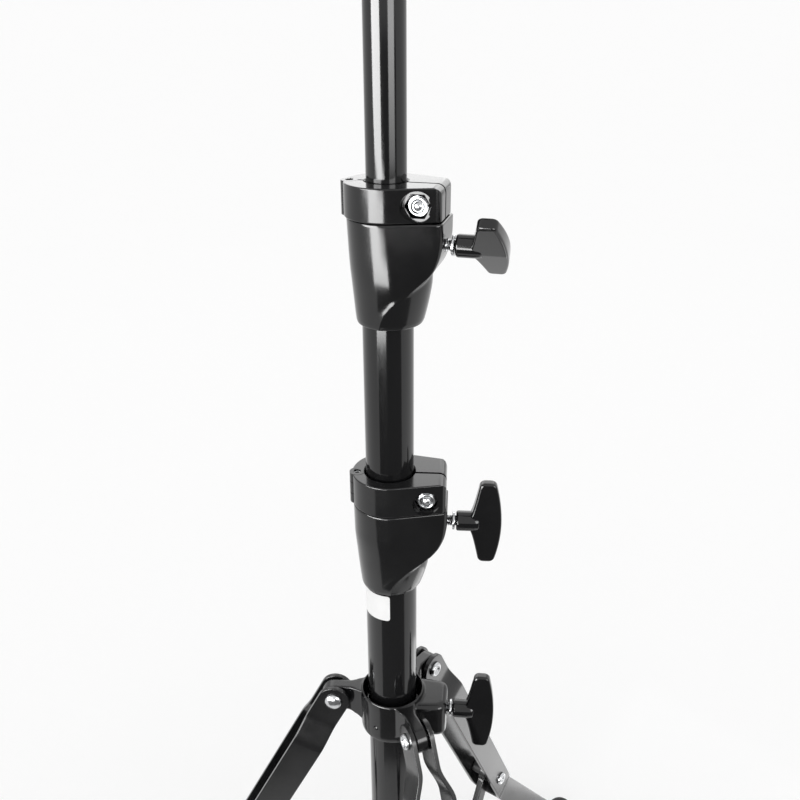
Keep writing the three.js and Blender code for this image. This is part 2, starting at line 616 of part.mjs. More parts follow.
function hubScrew() {
  const z = (HUB.z0 + HUB.z1) / 2;
  const shank = rodX(2.5, LOWER.r + GAP, HUB.r + 0.6, z, FINE);
  const head = rodX(4.4, HUB.r + 0.3, HUB.r + 3.2, z, MEDIUM);
  const hex = rodX(2.4, HUB.r + 1.4, HUB.r + 5, z, 6);
  return cut(join(shank, head), hex).rotateZ(COLLAR_WING_AZIMUTH * DEG);
}

function tubeEndPlug() {
  const { r, wall, z0 } = LOWER;
  return turned([
    [0, z0 - 3], [r - 1, z0 - 3], [r, z0 - 2], [r, z0 - GAP], [r - wall - GAP, z0 - GAP],
    [r - wall - GAP, z0 + 14], [r - wall - 3, z0 + 14], [r - wall - 3, z0 + 3], [0, z0 + 3],
  ], WIDE);
}

// ---------------------------------------------------------------- speaker spigot
function spigot() {
  const { r, z0, z1, flangeR, flangeH } = SPIGOT;
  const shaft = turned([
    [0, z0], [r - 1, z0], [r, z0 + 1], [r, z0 + 10], [flangeR - 1, z0 + 10], [flangeR, z0 + 11],
    [flangeR, z0 + 9 + flangeH], [flangeR - 1, z0 + 10 + flangeH], [r, z0 + 10 + flangeH],
    [r, z1 - 4], [r - 3.5, z1], [0, z1],
  ], WIDE);
  const socket = rod(TOP.r + GAP, z0 - 1, TOP.z1 + GAP, WIDE);
  const screwHole = rodX(2.8, 6, 30, z0 + 5, FINE).rotateZ(LOCKS.upper.azimuth * DEG);
  return cut(shaft, socket, screwHole);
}

function spigotScrew() {
  const z = SPIGOT.z0 + 5;
  const shank = rodX(2.5, TOP.r + GAP, SPIGOT.r + 0.6, z, FINE);
  const head = rodX(4.2, SPIGOT.r + 0.3, SPIGOT.r + 2.8, z, MEDIUM);
  const slot = block(SPIGOT.r + 2, SPIGOT.r + 5, -6, 6, z - 0.6, z + 0.6);
  return cut(join(shank, head), slot).rotateZ(LOCKS.upper.azimuth * DEG);
}

// ---------------------------------------------------------------- assembly
put(stand, 'lower_tube', tube(LOWER), LOOK.tube);
put(stand, 'mid_tube', tube(MID), LOOK.tube);
put(stand, 'top_tube', tube(TOP), LOOK.tube);
put(stand, 'tube_end_plug', tubeEndPlug(), LOOK.nylon);
for (const [name, spec] of Object.entries(LOCKS)) lock(name, spec);
put(stand, 'leg_collar', legCollar(), LOOK.cast);
wingScrew(turnedGroup(COLLAR_WING_AZIMUTH), 'collar', COLLAR.hub, LOWER.r + GAP, collarScrewZ(),
  COLLAR_WING_TURN);
LEG_AZIMUTHS.forEach((azimuth, index) => leg(index + 1, azimuth));
LEG_AZIMUTHS.forEach((azimuth, index) => brace(index + 1, azimuth));
put(stand, 'brace_hub', braceHub(), LOOK.cast);
put(stand, 'brace_hub_screw', hubScrew(), LOOK.chrome);
put(stand, 'speaker_spigot', spigot(), LOOK.nylon);
put(stand, 'spigot_screw', spigotScrew(), LOOK.chrome);

// The origin is the middle of the footprint's box, on the floor.
const footprint = new THREE.Box3().setFromObject(stand, true);
const middle = footprint.getCenter(new THREE.Vector3());
stand.position.set(-middle.x, -middle.y, 0);

export default stand;
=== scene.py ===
"""Looks of a three-section tripod stand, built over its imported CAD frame. Lengths are millimetres until a
piece is placed, then metres in the frame's own axes."""

import json
import math

import bmesh
import bpy
import numpy as np
from mathutils import Matrix, Vector


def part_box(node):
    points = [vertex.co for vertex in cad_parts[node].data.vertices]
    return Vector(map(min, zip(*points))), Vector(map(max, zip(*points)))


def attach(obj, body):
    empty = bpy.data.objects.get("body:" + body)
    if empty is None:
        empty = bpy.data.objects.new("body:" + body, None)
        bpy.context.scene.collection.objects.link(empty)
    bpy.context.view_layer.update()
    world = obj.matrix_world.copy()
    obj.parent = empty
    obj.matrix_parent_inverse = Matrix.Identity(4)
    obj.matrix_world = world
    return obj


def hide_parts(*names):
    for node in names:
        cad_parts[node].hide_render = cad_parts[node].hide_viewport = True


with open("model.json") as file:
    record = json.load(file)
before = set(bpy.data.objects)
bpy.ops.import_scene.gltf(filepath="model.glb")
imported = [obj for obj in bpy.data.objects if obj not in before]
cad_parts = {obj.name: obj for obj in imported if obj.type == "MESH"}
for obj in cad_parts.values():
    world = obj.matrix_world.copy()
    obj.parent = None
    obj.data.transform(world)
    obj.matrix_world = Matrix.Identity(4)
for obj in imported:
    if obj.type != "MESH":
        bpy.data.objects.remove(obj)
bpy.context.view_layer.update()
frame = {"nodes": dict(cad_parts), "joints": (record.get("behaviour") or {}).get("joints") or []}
MM = 0.001
TAU = 2 * math.pi


# ------------------------------------------------------------------ places taken from the frame
def box(node):
    low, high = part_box(node)
    return low / MM, high / MM


def middle(node):
    low, high = box(node)
    return (low + high) / 2


def joint(name):
    return next(j for j in frame["joints"] if j["name"] == name)


def azimuth_of(vector):
    return math.degrees(math.atan2(vector[1], vector[0]))


AXIS = middle("lower_tube").to_2d()
LEG_AZIMUTHS = [azimuth_of(joint(f"leg_{i}_hinge")["axis"]) - 90 for i in (1, 2, 3)]
WING_AZIMUTH = {w: azimuth_of(joint(f"{w}_wing_turn")["axis"]) for w in ("lower", "upper", "collar")}


def from_axis(point):
    """Distance of a frame point from the tubes' axis."""
    return (Vector(point[:2]) - AXIS).length


def upright(azimuth, z=0.0):
    """Local X points outwards at that azimuth, and local Z is up."""
    return Matrix.Translation((AXIS.x, AXIS.y, z)) @ Matrix.Rotation(math.radians(azimuth), 4, "Z")


def lean(azimuth, radius, z, slope):
    """Local X runs down and outwards at slope degrees below the horizon, from that pivot."""
    return (
        upright(azimuth)
        @ Matrix.Translation((radius, 0, z))
        @ Matrix.Rotation(math.radians(slope), 4, "Y")
    )


def across(x, y, z, sign):
    """Local Z points along the sideways axis, to the left for sign 1."""
    return Matrix.Translation((x, y, z)) @ Matrix.Rotation(math.radians(-90 * sign), 4, "X")


# ------------------------------------------------------------------ mesh building
class Shape:
    def __init__(self, verts, faces):
        self.verts = np.asarray(verts, float).reshape(-1, 3)
        self.faces = [tuple(int(i) for i in f) for f in faces]

    def moved(self, matrix):
        m = np.array(matrix)
        return Shape(self.verts @ m[:3, :3].T + m[:3, 3], self.faces)

    def mapped(self, change):
        return Shape(change(self.verts.copy()), self.faces)


def grid(rings, closed=False, cap="face"):
    """Faces between successive rings of points; the ends are closed with one face, or joined."""
    rings = np.asarray(rings, float)
    m, n = rings.shape[:2]
    faces = []
    for i in range(m if closed else m - 1):
        a, b = i * n, ((i + 1) % m) * n
        for j in range(n):
            k = (j + 1) % n
            faces.append((a + j, a + k, b + k, b + j))
    if not closed and cap == "face":
        faces.append(tuple(range(n - 1, -1, -1)))
        faces.append(tuple((m - 1) * n + j for j in range(n)))
    if not closed and cap == "pairs":
        for base, step in ((0, -1), ((m - 1) * n, 1)):
            half = n // 2
            for j in range(half - 1):
                quad = (base + j, base + j + 1, base + n - 2 - j, base + n - 1 - j)
                faces.append(quad[::step])
    return Shape(rings.reshape(-1, 3), faces)


def rounded(points, radius, closed=False, steps=4):
    """The corners of a polyline turned into short curves."""
    pts = [np.array(p, float) for p in points]
    radii = radius if hasattr(radius, "__len__") else [radius] * len(pts)
    out = []
    for i, p in enumerate(pts):
        if not closed and i in (0, len(pts) - 1) or radii[i] <= 0:
            out.append(p)
            continue
        a, b = pts[i - 1] - p, pts[(i + 1) % len(pts)] - p
        reach = min(radii[i], 0.48 * np.linalg.norm(a), 0.48 * np.linalg.norm(b))
        a, b = a / np.linalg.norm(a) * reach, b / np.linalg.norm(b) * reach
        for t in np.linspace(0, 1, steps + 1):
            out.append(p + (1 - t) ** 2 * a + t**2 * b)
    return out


def lathe(profile, sides=64, closed=False):
    """Turned about Z from (radius, height) pairs. An open profile starts and ends on the axis."""
    turn = np.arange(sides) / sides * TAU
    rings = [np.stack([r * np.cos(turn), r * np.sin(turn), np.full(sides, z)], 1) for r, z in profile]
    return grid(rings, closed)


def s_curve(t):
    t = np.clip(t, 0, 1)
    return t * t * (3 - 2 * t)


def pin(r, z0, z1, edge=0.4, sides=48):
    return lathe(rounded([(0, z0), (r, z0), (r, z1), (0, z1)], edge, steps=3), sides)


def pipe(ri, ro, z0, z1, edge=0.4, sides=96):
    return lathe(rounded([(ri, z0), (ro, z0), (ro, z1), (ri, z1)], edge, True, 3), sides, True)


def inset(outline, amount):
    """A counter-clockwise outline moved inwards."""
    p = np.asarray(outline, float)
    ahead = np.roll(p, -1, 0) - p
    ahead /= np.maximum(np.linalg.norm(ahead, axis=1, keepdims=True), 1e-9)
    inward = np.stack([-ahead[:, 1], ahead[:, 0]], 1)
    before = np.roll(inward, 1, 0)
    bend = np.maximum(1 + (inward * before).sum(1, keepdims=True), 0.35)
    return p + (inward + before) / bend * amount


def prism(outline, z0, z1, edge=0.6, steps=3, cap="face"):
    """An outline raised from z0 to z1, with rounded rims (square ones for edge 0)."""
    if edge == 0:
        return grid([np.c_[np.asarray(outline, float), np.full(len(outline), z)] for z in (z0, z1)], cap=cap)
    arc = np.linspace(0, math.pi / 2, steps + 1)
    low = [(edge * (1 - math.sin(a)), z0 + edge * (1 - math.cos(a))) for a in arc]
    high = [(d, z0 + z1 - z) for d, z in reversed(low)]
    rings = [np.c_[inset(outline, d), np.full(len(outline), z)] for d, z in low + high]
    return grid(rings, cap=cap)


def bar_outline(x0, x1, half, corner=None, steps=10):
    """A bar along X with two round ends (or with rounded corners), as pairs of points."""
    corner = half if corner is None else corner
    arc = np.radians(np.linspace(6, 90, steps))
    start = [(x0 + corner * (1 - math.cos(a)), half - corner * (1 - math.sin(a))) for a in arc]
    end = [(x1 - (x - x0), h) for x, h in reversed(start)]
    inner = np.linspace(start[-1][0], end[0][0], 2)[1:-1]
    return start + [(x, half) for x in inner] + end


def plate(stations, z0, z1, edge=0.6, steps=3):
    """A plate symmetric about X, from (x, half width) stations; its flat faces are rows of quads."""
    low = [(x, -h) for x, h in stations]
    high = [(x, h) for x, h in reversed(stations)]
    return prism(low + high, z0, z1, edge, steps, cap="pairs")


def make(name, shape, matrix=None):
    """An object from a shape, in metres, welded and facing outwards."""
    if matrix is not None:
        shape = shape.moved(matrix)
    mesh = bpy.data.meshes.new(name)
    mesh.from_pydata((shape.verts * MM).tolist(), [], shape.faces)
    bm = bmesh.new()
    bm.from_mesh(mesh)
    bmesh.ops.remove_doubles(bm, verts=bm.verts, dist=1e-7)
    bmesh.ops.dissolve_degenerate(bm, edges=bm.edges, dist=1e-8)
    bmesh.ops.recalc_face_normals(bm, faces=bm.faces)
    bm.to_mesh(mesh)
    bm.free()
    obj = bpy.data.objects.new(name, mesh)
    bpy.context.scene.collection.objects.link(obj)
    return obj


def evaluate(obj):
    """Applies the object's modifiers."""
    bpy.context.view_layer.update()
    done = bpy.data.meshes.new_from_object(obj.evaluated_get(bpy.context.evaluated_depsgraph_get()))
    obj.modifiers.clear()
    obj.data = done
    return obj


def combined(obj, *steps):
    """Joins, cuts or keeps the overlap with further shapes, as (operation, shape, matrix) steps."""
    for operation, shape, matrix in steps:
        tool = make("tool", shape, matrix)
        change = obj.modifiers.new("step", "BOOLEAN")
        change.operation, change.object, change.solver = operation, tool, "EXACT"
        evaluate(obj)
        bpy.data.objects.remove(tool)
    return obj


def joined(obj, other):
    """Joins another object into this one."""
    change = obj.modifiers.new("step", "BOOLEAN")
    change.operation, change.object, change.solver = "UNION", other, "EXACT"
    evaluate(obj)
    bpy.data.objects.remove(other)
    return obj


def eased(obj, width, segments=2, angle=32):
    """Rounds the edges that turn by more than angle."""
    change = obj.modifiers.new("ease", "BEVEL")
    change.width, change.segments = width * MM, segments
    change.limit_method, change.angle_limit = "ANGLE", math.radians(angle)
    change.use_clamp_overlap, change.miter_outer = True, "MITER_ARC"
    return evaluate(obj)


def cast(obj, voxel, passes, factor=0.5):
    """Melts joined blocks into one skin with soft inner corners, as a casting has."""
    change = obj.modifiers.new("skin", "REMESH")
    change.mode, change.voxel_size, change.use_smooth_shade = "VOXEL", voxel * MM, True
    evaluate(obj)
    change = obj.modifiers.new("soft", "SMOOTH")
    change.factor, change.iterations = factor, passes
    return evaluate(obj)


def finished(obj, material, body, replaces=(), sharp=35):
    """Shading, finish, and the body that the piece rides on."""
    obj.data.shade_smooth()
    obj.data.set_sharp_from_angle(angle=math.radians(sharp))
    weigh = obj.modifiers.new("flat", "WEIGHTED_NORMAL")
    weigh.mode, weigh.weight, weigh.keep_sharp = "FACE_AREA", 90, True
    evaluate(obj)
    obj.data.materials.clear()
    obj.data.materials.append(material)
    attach(obj, body)
    if replaces:
        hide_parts(*([replaces] if isinstance(replaces, str) else replaces))
    return obj


# ------------------------------------------------------------------ finishes
class Nodes:
    def __init__(self, material):
        material.use_nodes = True
        self.tree = material.node_tree
        self.shader = self.tree.nodes["Principled BSDF"]
        self.place = self.new("ShaderNodeTexCoord").outputs["Object"]

    def new(self, kind, **settings):
        node = self.tree.nodes.new(kind)
        for key, value in settings.items():
            setattr(node, key, value)
        return node

    def link(self, a, b):
        self.tree.links.new(a, b)

    def noise(self, scale, detail=3.0, stretch=(1, 1, 1)):
        mapping = self.new("ShaderNodeMapping")
        mapping.inputs["Scale"].default_value = stretch
        self.link(self.place, mapping.inputs["Vector"])
        node = self.new("ShaderNodeTexNoise")
        node.inputs["Scale"].default_value = scale
        node.inputs["Detail"].default_value = detail
        self.link(mapping.outputs["Vector"], node.inputs["Vector"])
        return node.outputs["Fac"]

    def ranged(self, value, low, high, to_low, to_high):
        node = self.new("ShaderNodeMapRange")
        for key, number in (("From Min", low), ("From Max", high), ("To Min", to_low), ("To Max", to_high)):
            node.inputs[key].default_value = number
        self.link(value, node.inputs["Value"])
        return node.outputs["Result"]

    def maths(self, operation, a, b):
        node = self.new("ShaderNodeMath", operation=operation)
        for socket, value in zip(node.inputs, (a, b)):
            if isinstance(value, (int, float)):
                socket.default_value = value
            else:
                self.link(value, socket)
        return node.outputs[0]

    def mixed(self, factor, a, b):
        node = self.new("ShaderNodeMix", data_type="RGBA")
        self.link(factor, node.inputs["Factor"])
        for key, value in (("A", a), ("B", b)):
            socket = next(s for s in node.inputs if s.name == key and s.type == "RGBA")
            if isinstance(value, tuple):
                socket.default_value = (*value, 1)
            else:
                self.link(value, socket)
        return next(s for s in node.outputs if s.type == "RGBA")

    def edges(self, radius):
        """1 on sharp edges, 0 on flat stretches."""
        bevel = self.new("ShaderNodeBevel", samples=4)
        bevel.inputs["Radius"].default_value = radius * MM
        geometry = self.new("ShaderNodeNewGeometry")
        dot = self.new("ShaderNodeVectorMath", operation="DOT_PRODUCT")
        self.link(bevel.outputs["Normal"], dot.inputs[0])
        self.link(geometry.outputs["Normal"], dot.inputs[1])
        return self.ranged(dot.outputs["Value"], 0.995, 0.9, 0.0, 1.0)


def finish(name, dark, light, rough, peel=(900, 0.04), metallic=0.0, ior=1.5, level=0.5, worn=None,
           drawn=(1, 1, 1), coat=0.0):
    """A coating: two close shades, uneven gloss, a fine skin and rubbed edges."""
    material = bpy.data.materials.new(name)
    n = Nodes(material)
    cloud = n.noise(40, 4, drawn)
    speck = n.noise(700, 2, drawn)
    shade = n.mixed(n.ranged(cloud, 0.3, 0.7, 0, 1), dark, light)
    sheen = n.ranged(cloud, 0.3, 0.7, rough[0], rough[1])
    gloss = n.maths("ADD", sheen, n.ranged(speck, 0.4, 0.6, -0.01, 0.01))
    if worn is not None:
        rubbed = n.maths("MULTIPLY", n.edges(0.3), n.ranged(n.noise(90, 4), 0.52, 0.72, 0, 0.6))
        shade = n.mixed(rubbed, shade, worn)
        gloss = n.maths("ADD", gloss, n.maths("MULTIPLY", rubbed, 0.12))
    n.link(shade, n.shader.inputs["Base Color"])
    n.link(gloss, n.shader.inputs["Roughness"])
    bump = n.new("ShaderNodeBump")
    bump.inputs["Strength"].default_value = peel[1]
    bump.inputs["Distance"].default_value = 0.2 * MM
    n.link(n.noise(peel[0], 2, drawn), bump.inputs["Height"])
    n.link(bump.outputs["Normal"], n.shader.inputs["Normal"])
    n.shader.inputs["Metallic"].default_value = metallic
    n.shader.inputs["IOR"].default_value = ior
    n.shader.inputs["Specular IOR Level"].default_value = level
    n.shader.inputs["Coat Weight"].default_value = coat
    n.shader.inputs["Coat Roughness"].default_value = 0.12
    return material


LOOK = {
    "tube_black": finish("tube_black", (0.005, 0.005, 0.0055), (0.008, 0.008, 0.0085), (0.09, 0.13),
                         (500, 0.012), drawn=(1, 1, 0.15)),
    "cast_black": finish("cast_black", (0.005, 0.005, 0.0055), (0.009, 0.009, 0.0095), (0.13, 0.18),
                         (260, 0.03), worn=(0.03, 0.03, 0.032)),
    "strip_black": finish("strip_black", (0.006, 0.006, 0.0065), (0.011, 0.011, 0.0115), (0.17, 0.24),
                          (400, 0.03), worn=(0.05, 0.05, 0.052)),
    "knob_plastic": finish("knob_plastic", (0.004, 0.004, 0.0045), (0.007, 0.007, 0.0075), (0.07, 0.12),
                           (300, 0.015)),
    "chrome": finish("chrome", (0.5, 0.505, 0.515), (0.66, 0.67, 0.68), (0.12, 0.2), (900, 0.05),
                     metallic=1.0, worn=(0.45, 0.45, 0.46)),
    "nylon": finish("nylon", (0.014, 0.014, 0.015), (0.024, 0.024, 0.025), (0.5, 0.62), (900, 0.15)),
    "rubber": finish("rubber", (0.012, 0.012, 0.012), (0.024, 0.024, 0.024), (0.72, 0.86), (700, 0.3)),
    "label_white": finish("label_white", (0.9, 0.9, 0.895), (0.95, 0.95, 0.945), (0.42, 0.5), (400, 0.04)),
}


# ------------------------------------------------------------------ tubes
def tube(name, body, wall=1.2):
    low, high = box(name)
    r = (high.x - low.x) / 2
    shape = pipe(r - wall, r, low.z, high.z, 0.45, 128)
    return finished(make(name + "_skin", shape, upright(0)), LOOK["tube_black"], body, name)


tube("lower_tube", "base")
tube("mid_tube", "mid_mast")
tube("top_tube", "top_mast")


def radius_of(node):
    low, high = box(node)
    return (high.x - low.x) / 2


LOWER_R, MID_R, TOP_R = (radius_of(n) for n in ("lower_tube", "mid_tube", "top_tube"))


# ------------------------------------------------------------------ height locks
def eased_between(keys, t):
    """A smooth curve through (t, value) keys."""
    x, y = np.array(keys, float).T
    slopes = np.gradient(y, x)
    i = int(np.clip(np.searchsorted(x, t) - 1, 0, len(x) - 2))
    h = x[i + 1] - x[i]
    u = min(max((t - x[i]) / h, 0), 1)
    return ((2 * u**3 - 3 * u**2 + 1) * y[i] + (u**3 - 2 * u**2 + u) * h * slopes[i]
            + (3 * u**2 - 2 * u**3) * y[i + 1] + (u**3 - u**2) * h * slopes[i + 1])


def soft_least(a, b, k):
    h = max(k - abs(a - b), 0) / k
    return min(a, b) - h * h * k / 4


def nosed(r, corner, reach, soft, turn):
    """Outline radius at angle turn of a round body drawn out to two corners, at angles +-corner."""
    turn = abs((turn + math.pi) % TAU - math.pi)
    if reach <= r * 1.0005:
        return r
    swing = math.acos(r / reach)
    outer = corner + swing
    face = max(0.0, corner - swing)
    if turn >= outer or turn <= face and corner > swing:
        return r
    front = reach * math.cos(corner - face) / max(math.cos(turn - face), 0.05)
    flank = r / max(math.cos(outer - turn), 0.05)
    return soft_least(front, flank, soft)


# ear: corner of the ring's ears. face: depth of the ears at the bolt. body: the receiver in stages of
# height, each with its radius, its bulge towards the nose, and the corner that the nose reaches.
LOCKS = {
    "lower": dict(tube=LOWER_R, sliding=MID_R, body="base", mast="mid_mast", ear=(30.2, 14.5), face=16.0,
                  stages=[(0, 16.2, 0.5, 0.8, 17), (0.12, 16.9, 1.9, 1.6, 18.4), (0.28, 17.7, 3.2, 7.9, 18.7),
                          (0.46, 18.5, 3.2, 20.9, 15.3), (0.56, 19.0, 2.8, 26, 14.2),
                          (0.66, 19.4, 2.2, 29, 13.3), (0.78, 19.5, 1.4, 30.6, 13), (1, 19.7, 0, 31, 13)]),
    "upper": dict(tube=MID_R, sliding=TOP_R, body="mid_mast", mast="top_mast", ear=(28.4, 12.4), face=14.9,
                  stages=[(0, 15.2, 2.4, 0, 17), (0.09, 15.7, 3.1, 1.6, 17.9), (0.21, 16.2, 4.0, 5.3, 18.5),
                          (0.28, 16.5, 4.4, 8.8, 18.1), (0.395, 17.0, 4.8, 16.4, 14.6),
                          (0.54, 17.7, 4.0, 24.3, 12.2), (0.66, 18.1, 2.9, 27.4, 12),
                          (0.78, 18.4, 1.8, 28.9, 12.5), (1, 18.9, 0, 29.3, 12.8)]),
}
SPREAD = np.arange(288) / 288 * TAU


def receiver(word, lock):
    """Cast body: a tapering round drawn out to a nose, whose underside sweeps back into the round."""
    node = f"{word}_receiver"
    low, high = box(node)
    z0, z1 = low.z, high.z
    height = z1 - z0
    radius, bulge, nose_x, nose_y = ([(stage[0], stage[i]) for stage in lock["stages"]] for i in (1, 2, 3, 4))

    def ring(t, draw_in, z):
        shift = eased_between(bulge, t) / 2
        x, y = eased_between(nose_x, t) - shift, eased_between(nose_y, t)
        soft = 0.35 + 3.8 * min(max((t - 0.5) / 0.3, 0), 1)
        r, corner, far = eased_between(radius, t) + shift, math.atan2(y, x), math.hypot(x, y)
        out = np.array([nosed(r, corner, far, soft, a) for a in SPREAD]) - draw_in
        return np.stack([shift + out * np.cos(SPREAD), out * np.sin(SPREAD), np.full(len(SPREAD), z)], 1)

    def circle(r, z):
        return np.stack([r * np.cos(SPREAD), r * np.sin(SPREAD), np.full(len(SPREAD), z)], 1)

    rim, foot = 0.9, 2.2
    rings = []
    for a in np.linspace(0, math.pi / 2, 5):
        rings.append(ring(0.0, foot * 0.5 * (1 - math.sin(a)), z0 + foot * (1 - math.cos(a)) * 0.5))
    for t in np.linspace(foot * 0.5 / height, 1 - rim / height, 64)[1:-1]:
        rings.append(ring(t, 0.0, z0 + t * height))
    for a in np.linspace(0, math.pi / 2, 5):
        rings.append(ring(1 - rim / height, rim * (1 - math.cos(a)), z1 - rim * (1 - math.sin(a))))
    mouth, pocket = lock["sliding"] + 1, max(lock["sliding"] + 2.2, lock["tube"] - 0.8) + 0.3
    seat = lock["tube"] + 0.3
    tube_end = box("lower_tube" if word == "lower" else "mid_tube")[1].z
    inner = rounded([(mouth, z1), (mouth, z1 - 1.9), (pocket, z1 - 1.9), (pocket, tube_end + 0.3),
                     (seat, tube_end + 0.3), (seat, z0)], [0.5, 0, 0, 0, 0, 0.5], steps=3)
    inner[0] = np.array([mouth + 0.5, z1])
    inner.insert(1, np.array([mouth + 0.1, z1 - 0.25]))
    rings += [circle(r, z) for r, z in inner]
    shape = grid(rings, closed=True)
    obj = make(node + "_casting", shape)
    screw_z = middle(f"{word}_wing_stud").z
    hole = lathe([(0, 0), (3.3, 0), (3.3, 40), (0, 40)], 32)
    turn = Matrix.Translation((0, 0, screw_z)) @ Matrix.Rotation(math.radians(90), 4, "Y")
    combined(obj, ("DIFFERENCE", hole, turn))
    obj.data.transform(in_metres(upright(WING_AZIMUTH[word])))
    return finished(obj, LOOK["cast_black"], lock["body"], node, 42)


def ring_outline(r, reach, half, corner):
    """A round drawn out to two rounded corners at (reach, +-half) by straight flanks."""
    x, y = reach - corner, half - corner
    start = math.atan2(y, x) + math.acos((r - corner) / math.hypot(x, y))
    back = [(r * math.cos(a), r * math.sin(a)) for a in np.linspace(start, TAU - start, 140)]
    arc = np.linspace(0, start, 14)
    high = [(x + corner * math.cos(a), y + corner * math.sin(a)) for a in arc]
    return back + [(x, -y) for x, y in reversed(high)] + high


def block(x0, x1, y0, y1, z0, z1):
    return prism([(x0, y0), (x1, y0), (x1, y1), (x0, y1)], z0, z1, 0)


def clamp_ring(word, lock):
    """The two halves of the clamp ring: one outline, split, hinged at the back and bolted at the ears."""
    rear_node, front_node = f"{word}_lock_rear", f"{word}_lock_front"
    low, high = box(rear_node)
    z0, z1 = low.z, high.z
    knuckle = 0.3 * (z1 - z0)
    stand_frame, place = upright(WING_AZIMUTH[word]), Matrix.Identity(4)
    local = stand_frame.inverted()
    hinge = local @ middle(f"{word}_lock_pin")
    nut = local @ middle(f"{word}_lock_nut")
    bolt_z = nut.z
    ring_r, gap, split, half_gap = 20.0, 0.3, -2.0, 0.8
    bore = lock["sliding"] + gap
    bore_cut = lathe([(0, z0 - 1), (bore + 0.5, z0 - 1), (bore + 0.5, z0), (bore, z0 + 0.5), (bore, z1 - 1.3),
                      (bore + 0.35, z1 - 0.6), (bore + 0.9, z1 - 0.15), (bore + 1.1, z1 + 1),
                      (0, z1 + 1)], 96)
    whole = prism(ring_outline(ring_r, *lock["ear"], 3.6), z0, z1, 0.7, 3)
    reach = lock["ear"][0] + 0.02
    sideways = rounded([(-60, z0 - 1), (reach, z0 - 1), (reach, z1 + 0.02), (-60, z1 + 0.02)],
                       [0, 0, 4.6, 0], True, 8)
    ear_top = ("INTERSECT", prism(sideways, -60, 60, 0), place @ Matrix.Rotation(math.radians(90), 4, "X"))

    def barrel(r, a, b):
        return lathe([(0, a), (r, a), (r, b), (0, b)], 40), place @ Matrix.Translation((hinge.x, hinge.y, 0))

    def bolt_way(profile, sides, sign):
        return lathe(profile, sides), place @ across(nut.x, 0, bolt_z, sign)

    pin_hole = ("DIFFERENCE", *barrel(1.9, z0 - 1, z1 + 1))
    front = make(front_node + "_casting", whole, place)
    combined(
        front,
        ear_top,
        ("INTERSECT", block(-60, 60, -60, split - half_gap, z0 - 5, z1 + 5), place),
        ("DIFFERENCE", *barrel(4.4, z0 - 1, z0 + knuckle + gap)),
        ("DIFFERENCE", *barrel(4.4, z1 - knuckle - gap, z1 + 1)),
        ("UNION", *barrel(4.1, z0 + knuckle + gap, z1 - knuckle - gap)),
        ("DIFFERENCE", bore_cut, place),
        pin_hole,
    )
    face = lock["face"]
    pocket = prism(hexagon(10.9), face - 6.8, face + 20, 0)
    combined(
        front,
        ("DIFFERENCE", pocket, place @ across(nut.x, 0, bolt_z, -1)),
        ("DIFFERENCE", *bolt_way([(0, face - 1.9), (6.9, face - 1.9), (7.1, face - 0.3), (7.7, 40), (0, 40)],
                                 64, -1)),
        ("DIFFERENCE", *bolt_way([(0, 0), (3.6, 0), (3.6, face - 4), (0, face - 4)], 32, -1)),
    )
    eased(front, 0.35)
    front.data.transform(in_metres(stand_frame))
    finished(front, LOOK["cast_black"], f"{word}_ring_front", front_node)
    rear = make(rear_node + "_casting", whole, place)
    combined(
        rear,
        ear_top,
        ("INTERSECT", block(-60, 60, split + half_gap, 60, z0 - 5, z1 + 5), place),
        ("DIFFERENCE", *barrel(4.4, z0 + knuckle, z1 - knuckle)),
        ("UNION", *barrel(4.1, z0, z0 + knuckle)),
        ("UNION", *barrel(4.1, z1 - knuckle, z1)),
        ("DIFFERENCE", bore_cut, place),
        pin_hole,
        ("DIFFERENCE", *bolt_way([(0, -10), (3.3, -10), (3.3, 40), (0, 40)], 32, 1)),
        ("DIFFERENCE", *bolt_way([(0, face - 3.6), (6.0, face - 3.6), (6.3, face - 1), (7.4, 40), (0, 40)],
                                 64, 1)),
    )
    eased(rear, 0.35)
    rear.data.transform(in_metres(stand_frame))
    finished(rear, LOOK["cast_black"], f"{word}_ring", rear_node)

    low_pin, high_pin = box(f"{word}_lock_pin")
    hinge_pin = pipe(1.15, 1.8, low_pin.z, high_pin.z - 0.3, 0.25, 32).moved(
        Matrix.Translation((hinge.x, hinge.y, 0)))
    finished(make(f"{word}_hinge_pin", hinge_pin, stand_frame), LOOK["chrome"], f"{word}_ring",
             f"{word}_lock_pin")
    lock_nut(word, stand_frame, nut, bolt_z)
    lock_bolt(word, stand_frame, nut, bolt_z)


def hexagon(flats):
    corner = flats / math.sqrt(3)
    return [(corner * math.cos(a), corner * math.sin(a)) for a in np.arange(6) / 6 * TAU]


def lock_nut(word, place, centre, z):
    """Self-locking nut: a chamfered hexagon with a rolled collar."""
    half = 2.25
    body = make(f"{word}_nut", prism(hexagon(10.0), -half, half - 1.0, 0.05, 1))
    cone = lathe([(0, -half - 1), (4.6, -half - 1), (5.9, -half + 0.7), (5.9, half - 2.3), (4.5, half - 0.95),
                  (0, half - 0.9)], 64)
    collar = lathe(rounded([(0, 0), (4.4, 0), (4.4, half), (3.3, half), (3.3, 0.4), (0, 0.4)],
                           [0, 0, 0.9, 0.3, 0, 0], steps=4), 64)
    bore = lathe([(0, -5), (3.25, -5), (3.25, 5), (0, 5)], 48)
    combined(body, ("INTERSECT", cone, None), ("UNION", collar, None), ("DIFFERENCE", bore, None))
    body.data.transform(in_metres(place @ across(centre.x, centre.y, z, -1)))
    return finished(body, LOOK["chrome"], f"{word}_ring_front", f"{word}_lock_nut")


def in_metres(matrix):
    """The same placement for a mesh that is already in metres."""
    out = matrix.copy()
    out.translation *= MM
    return out


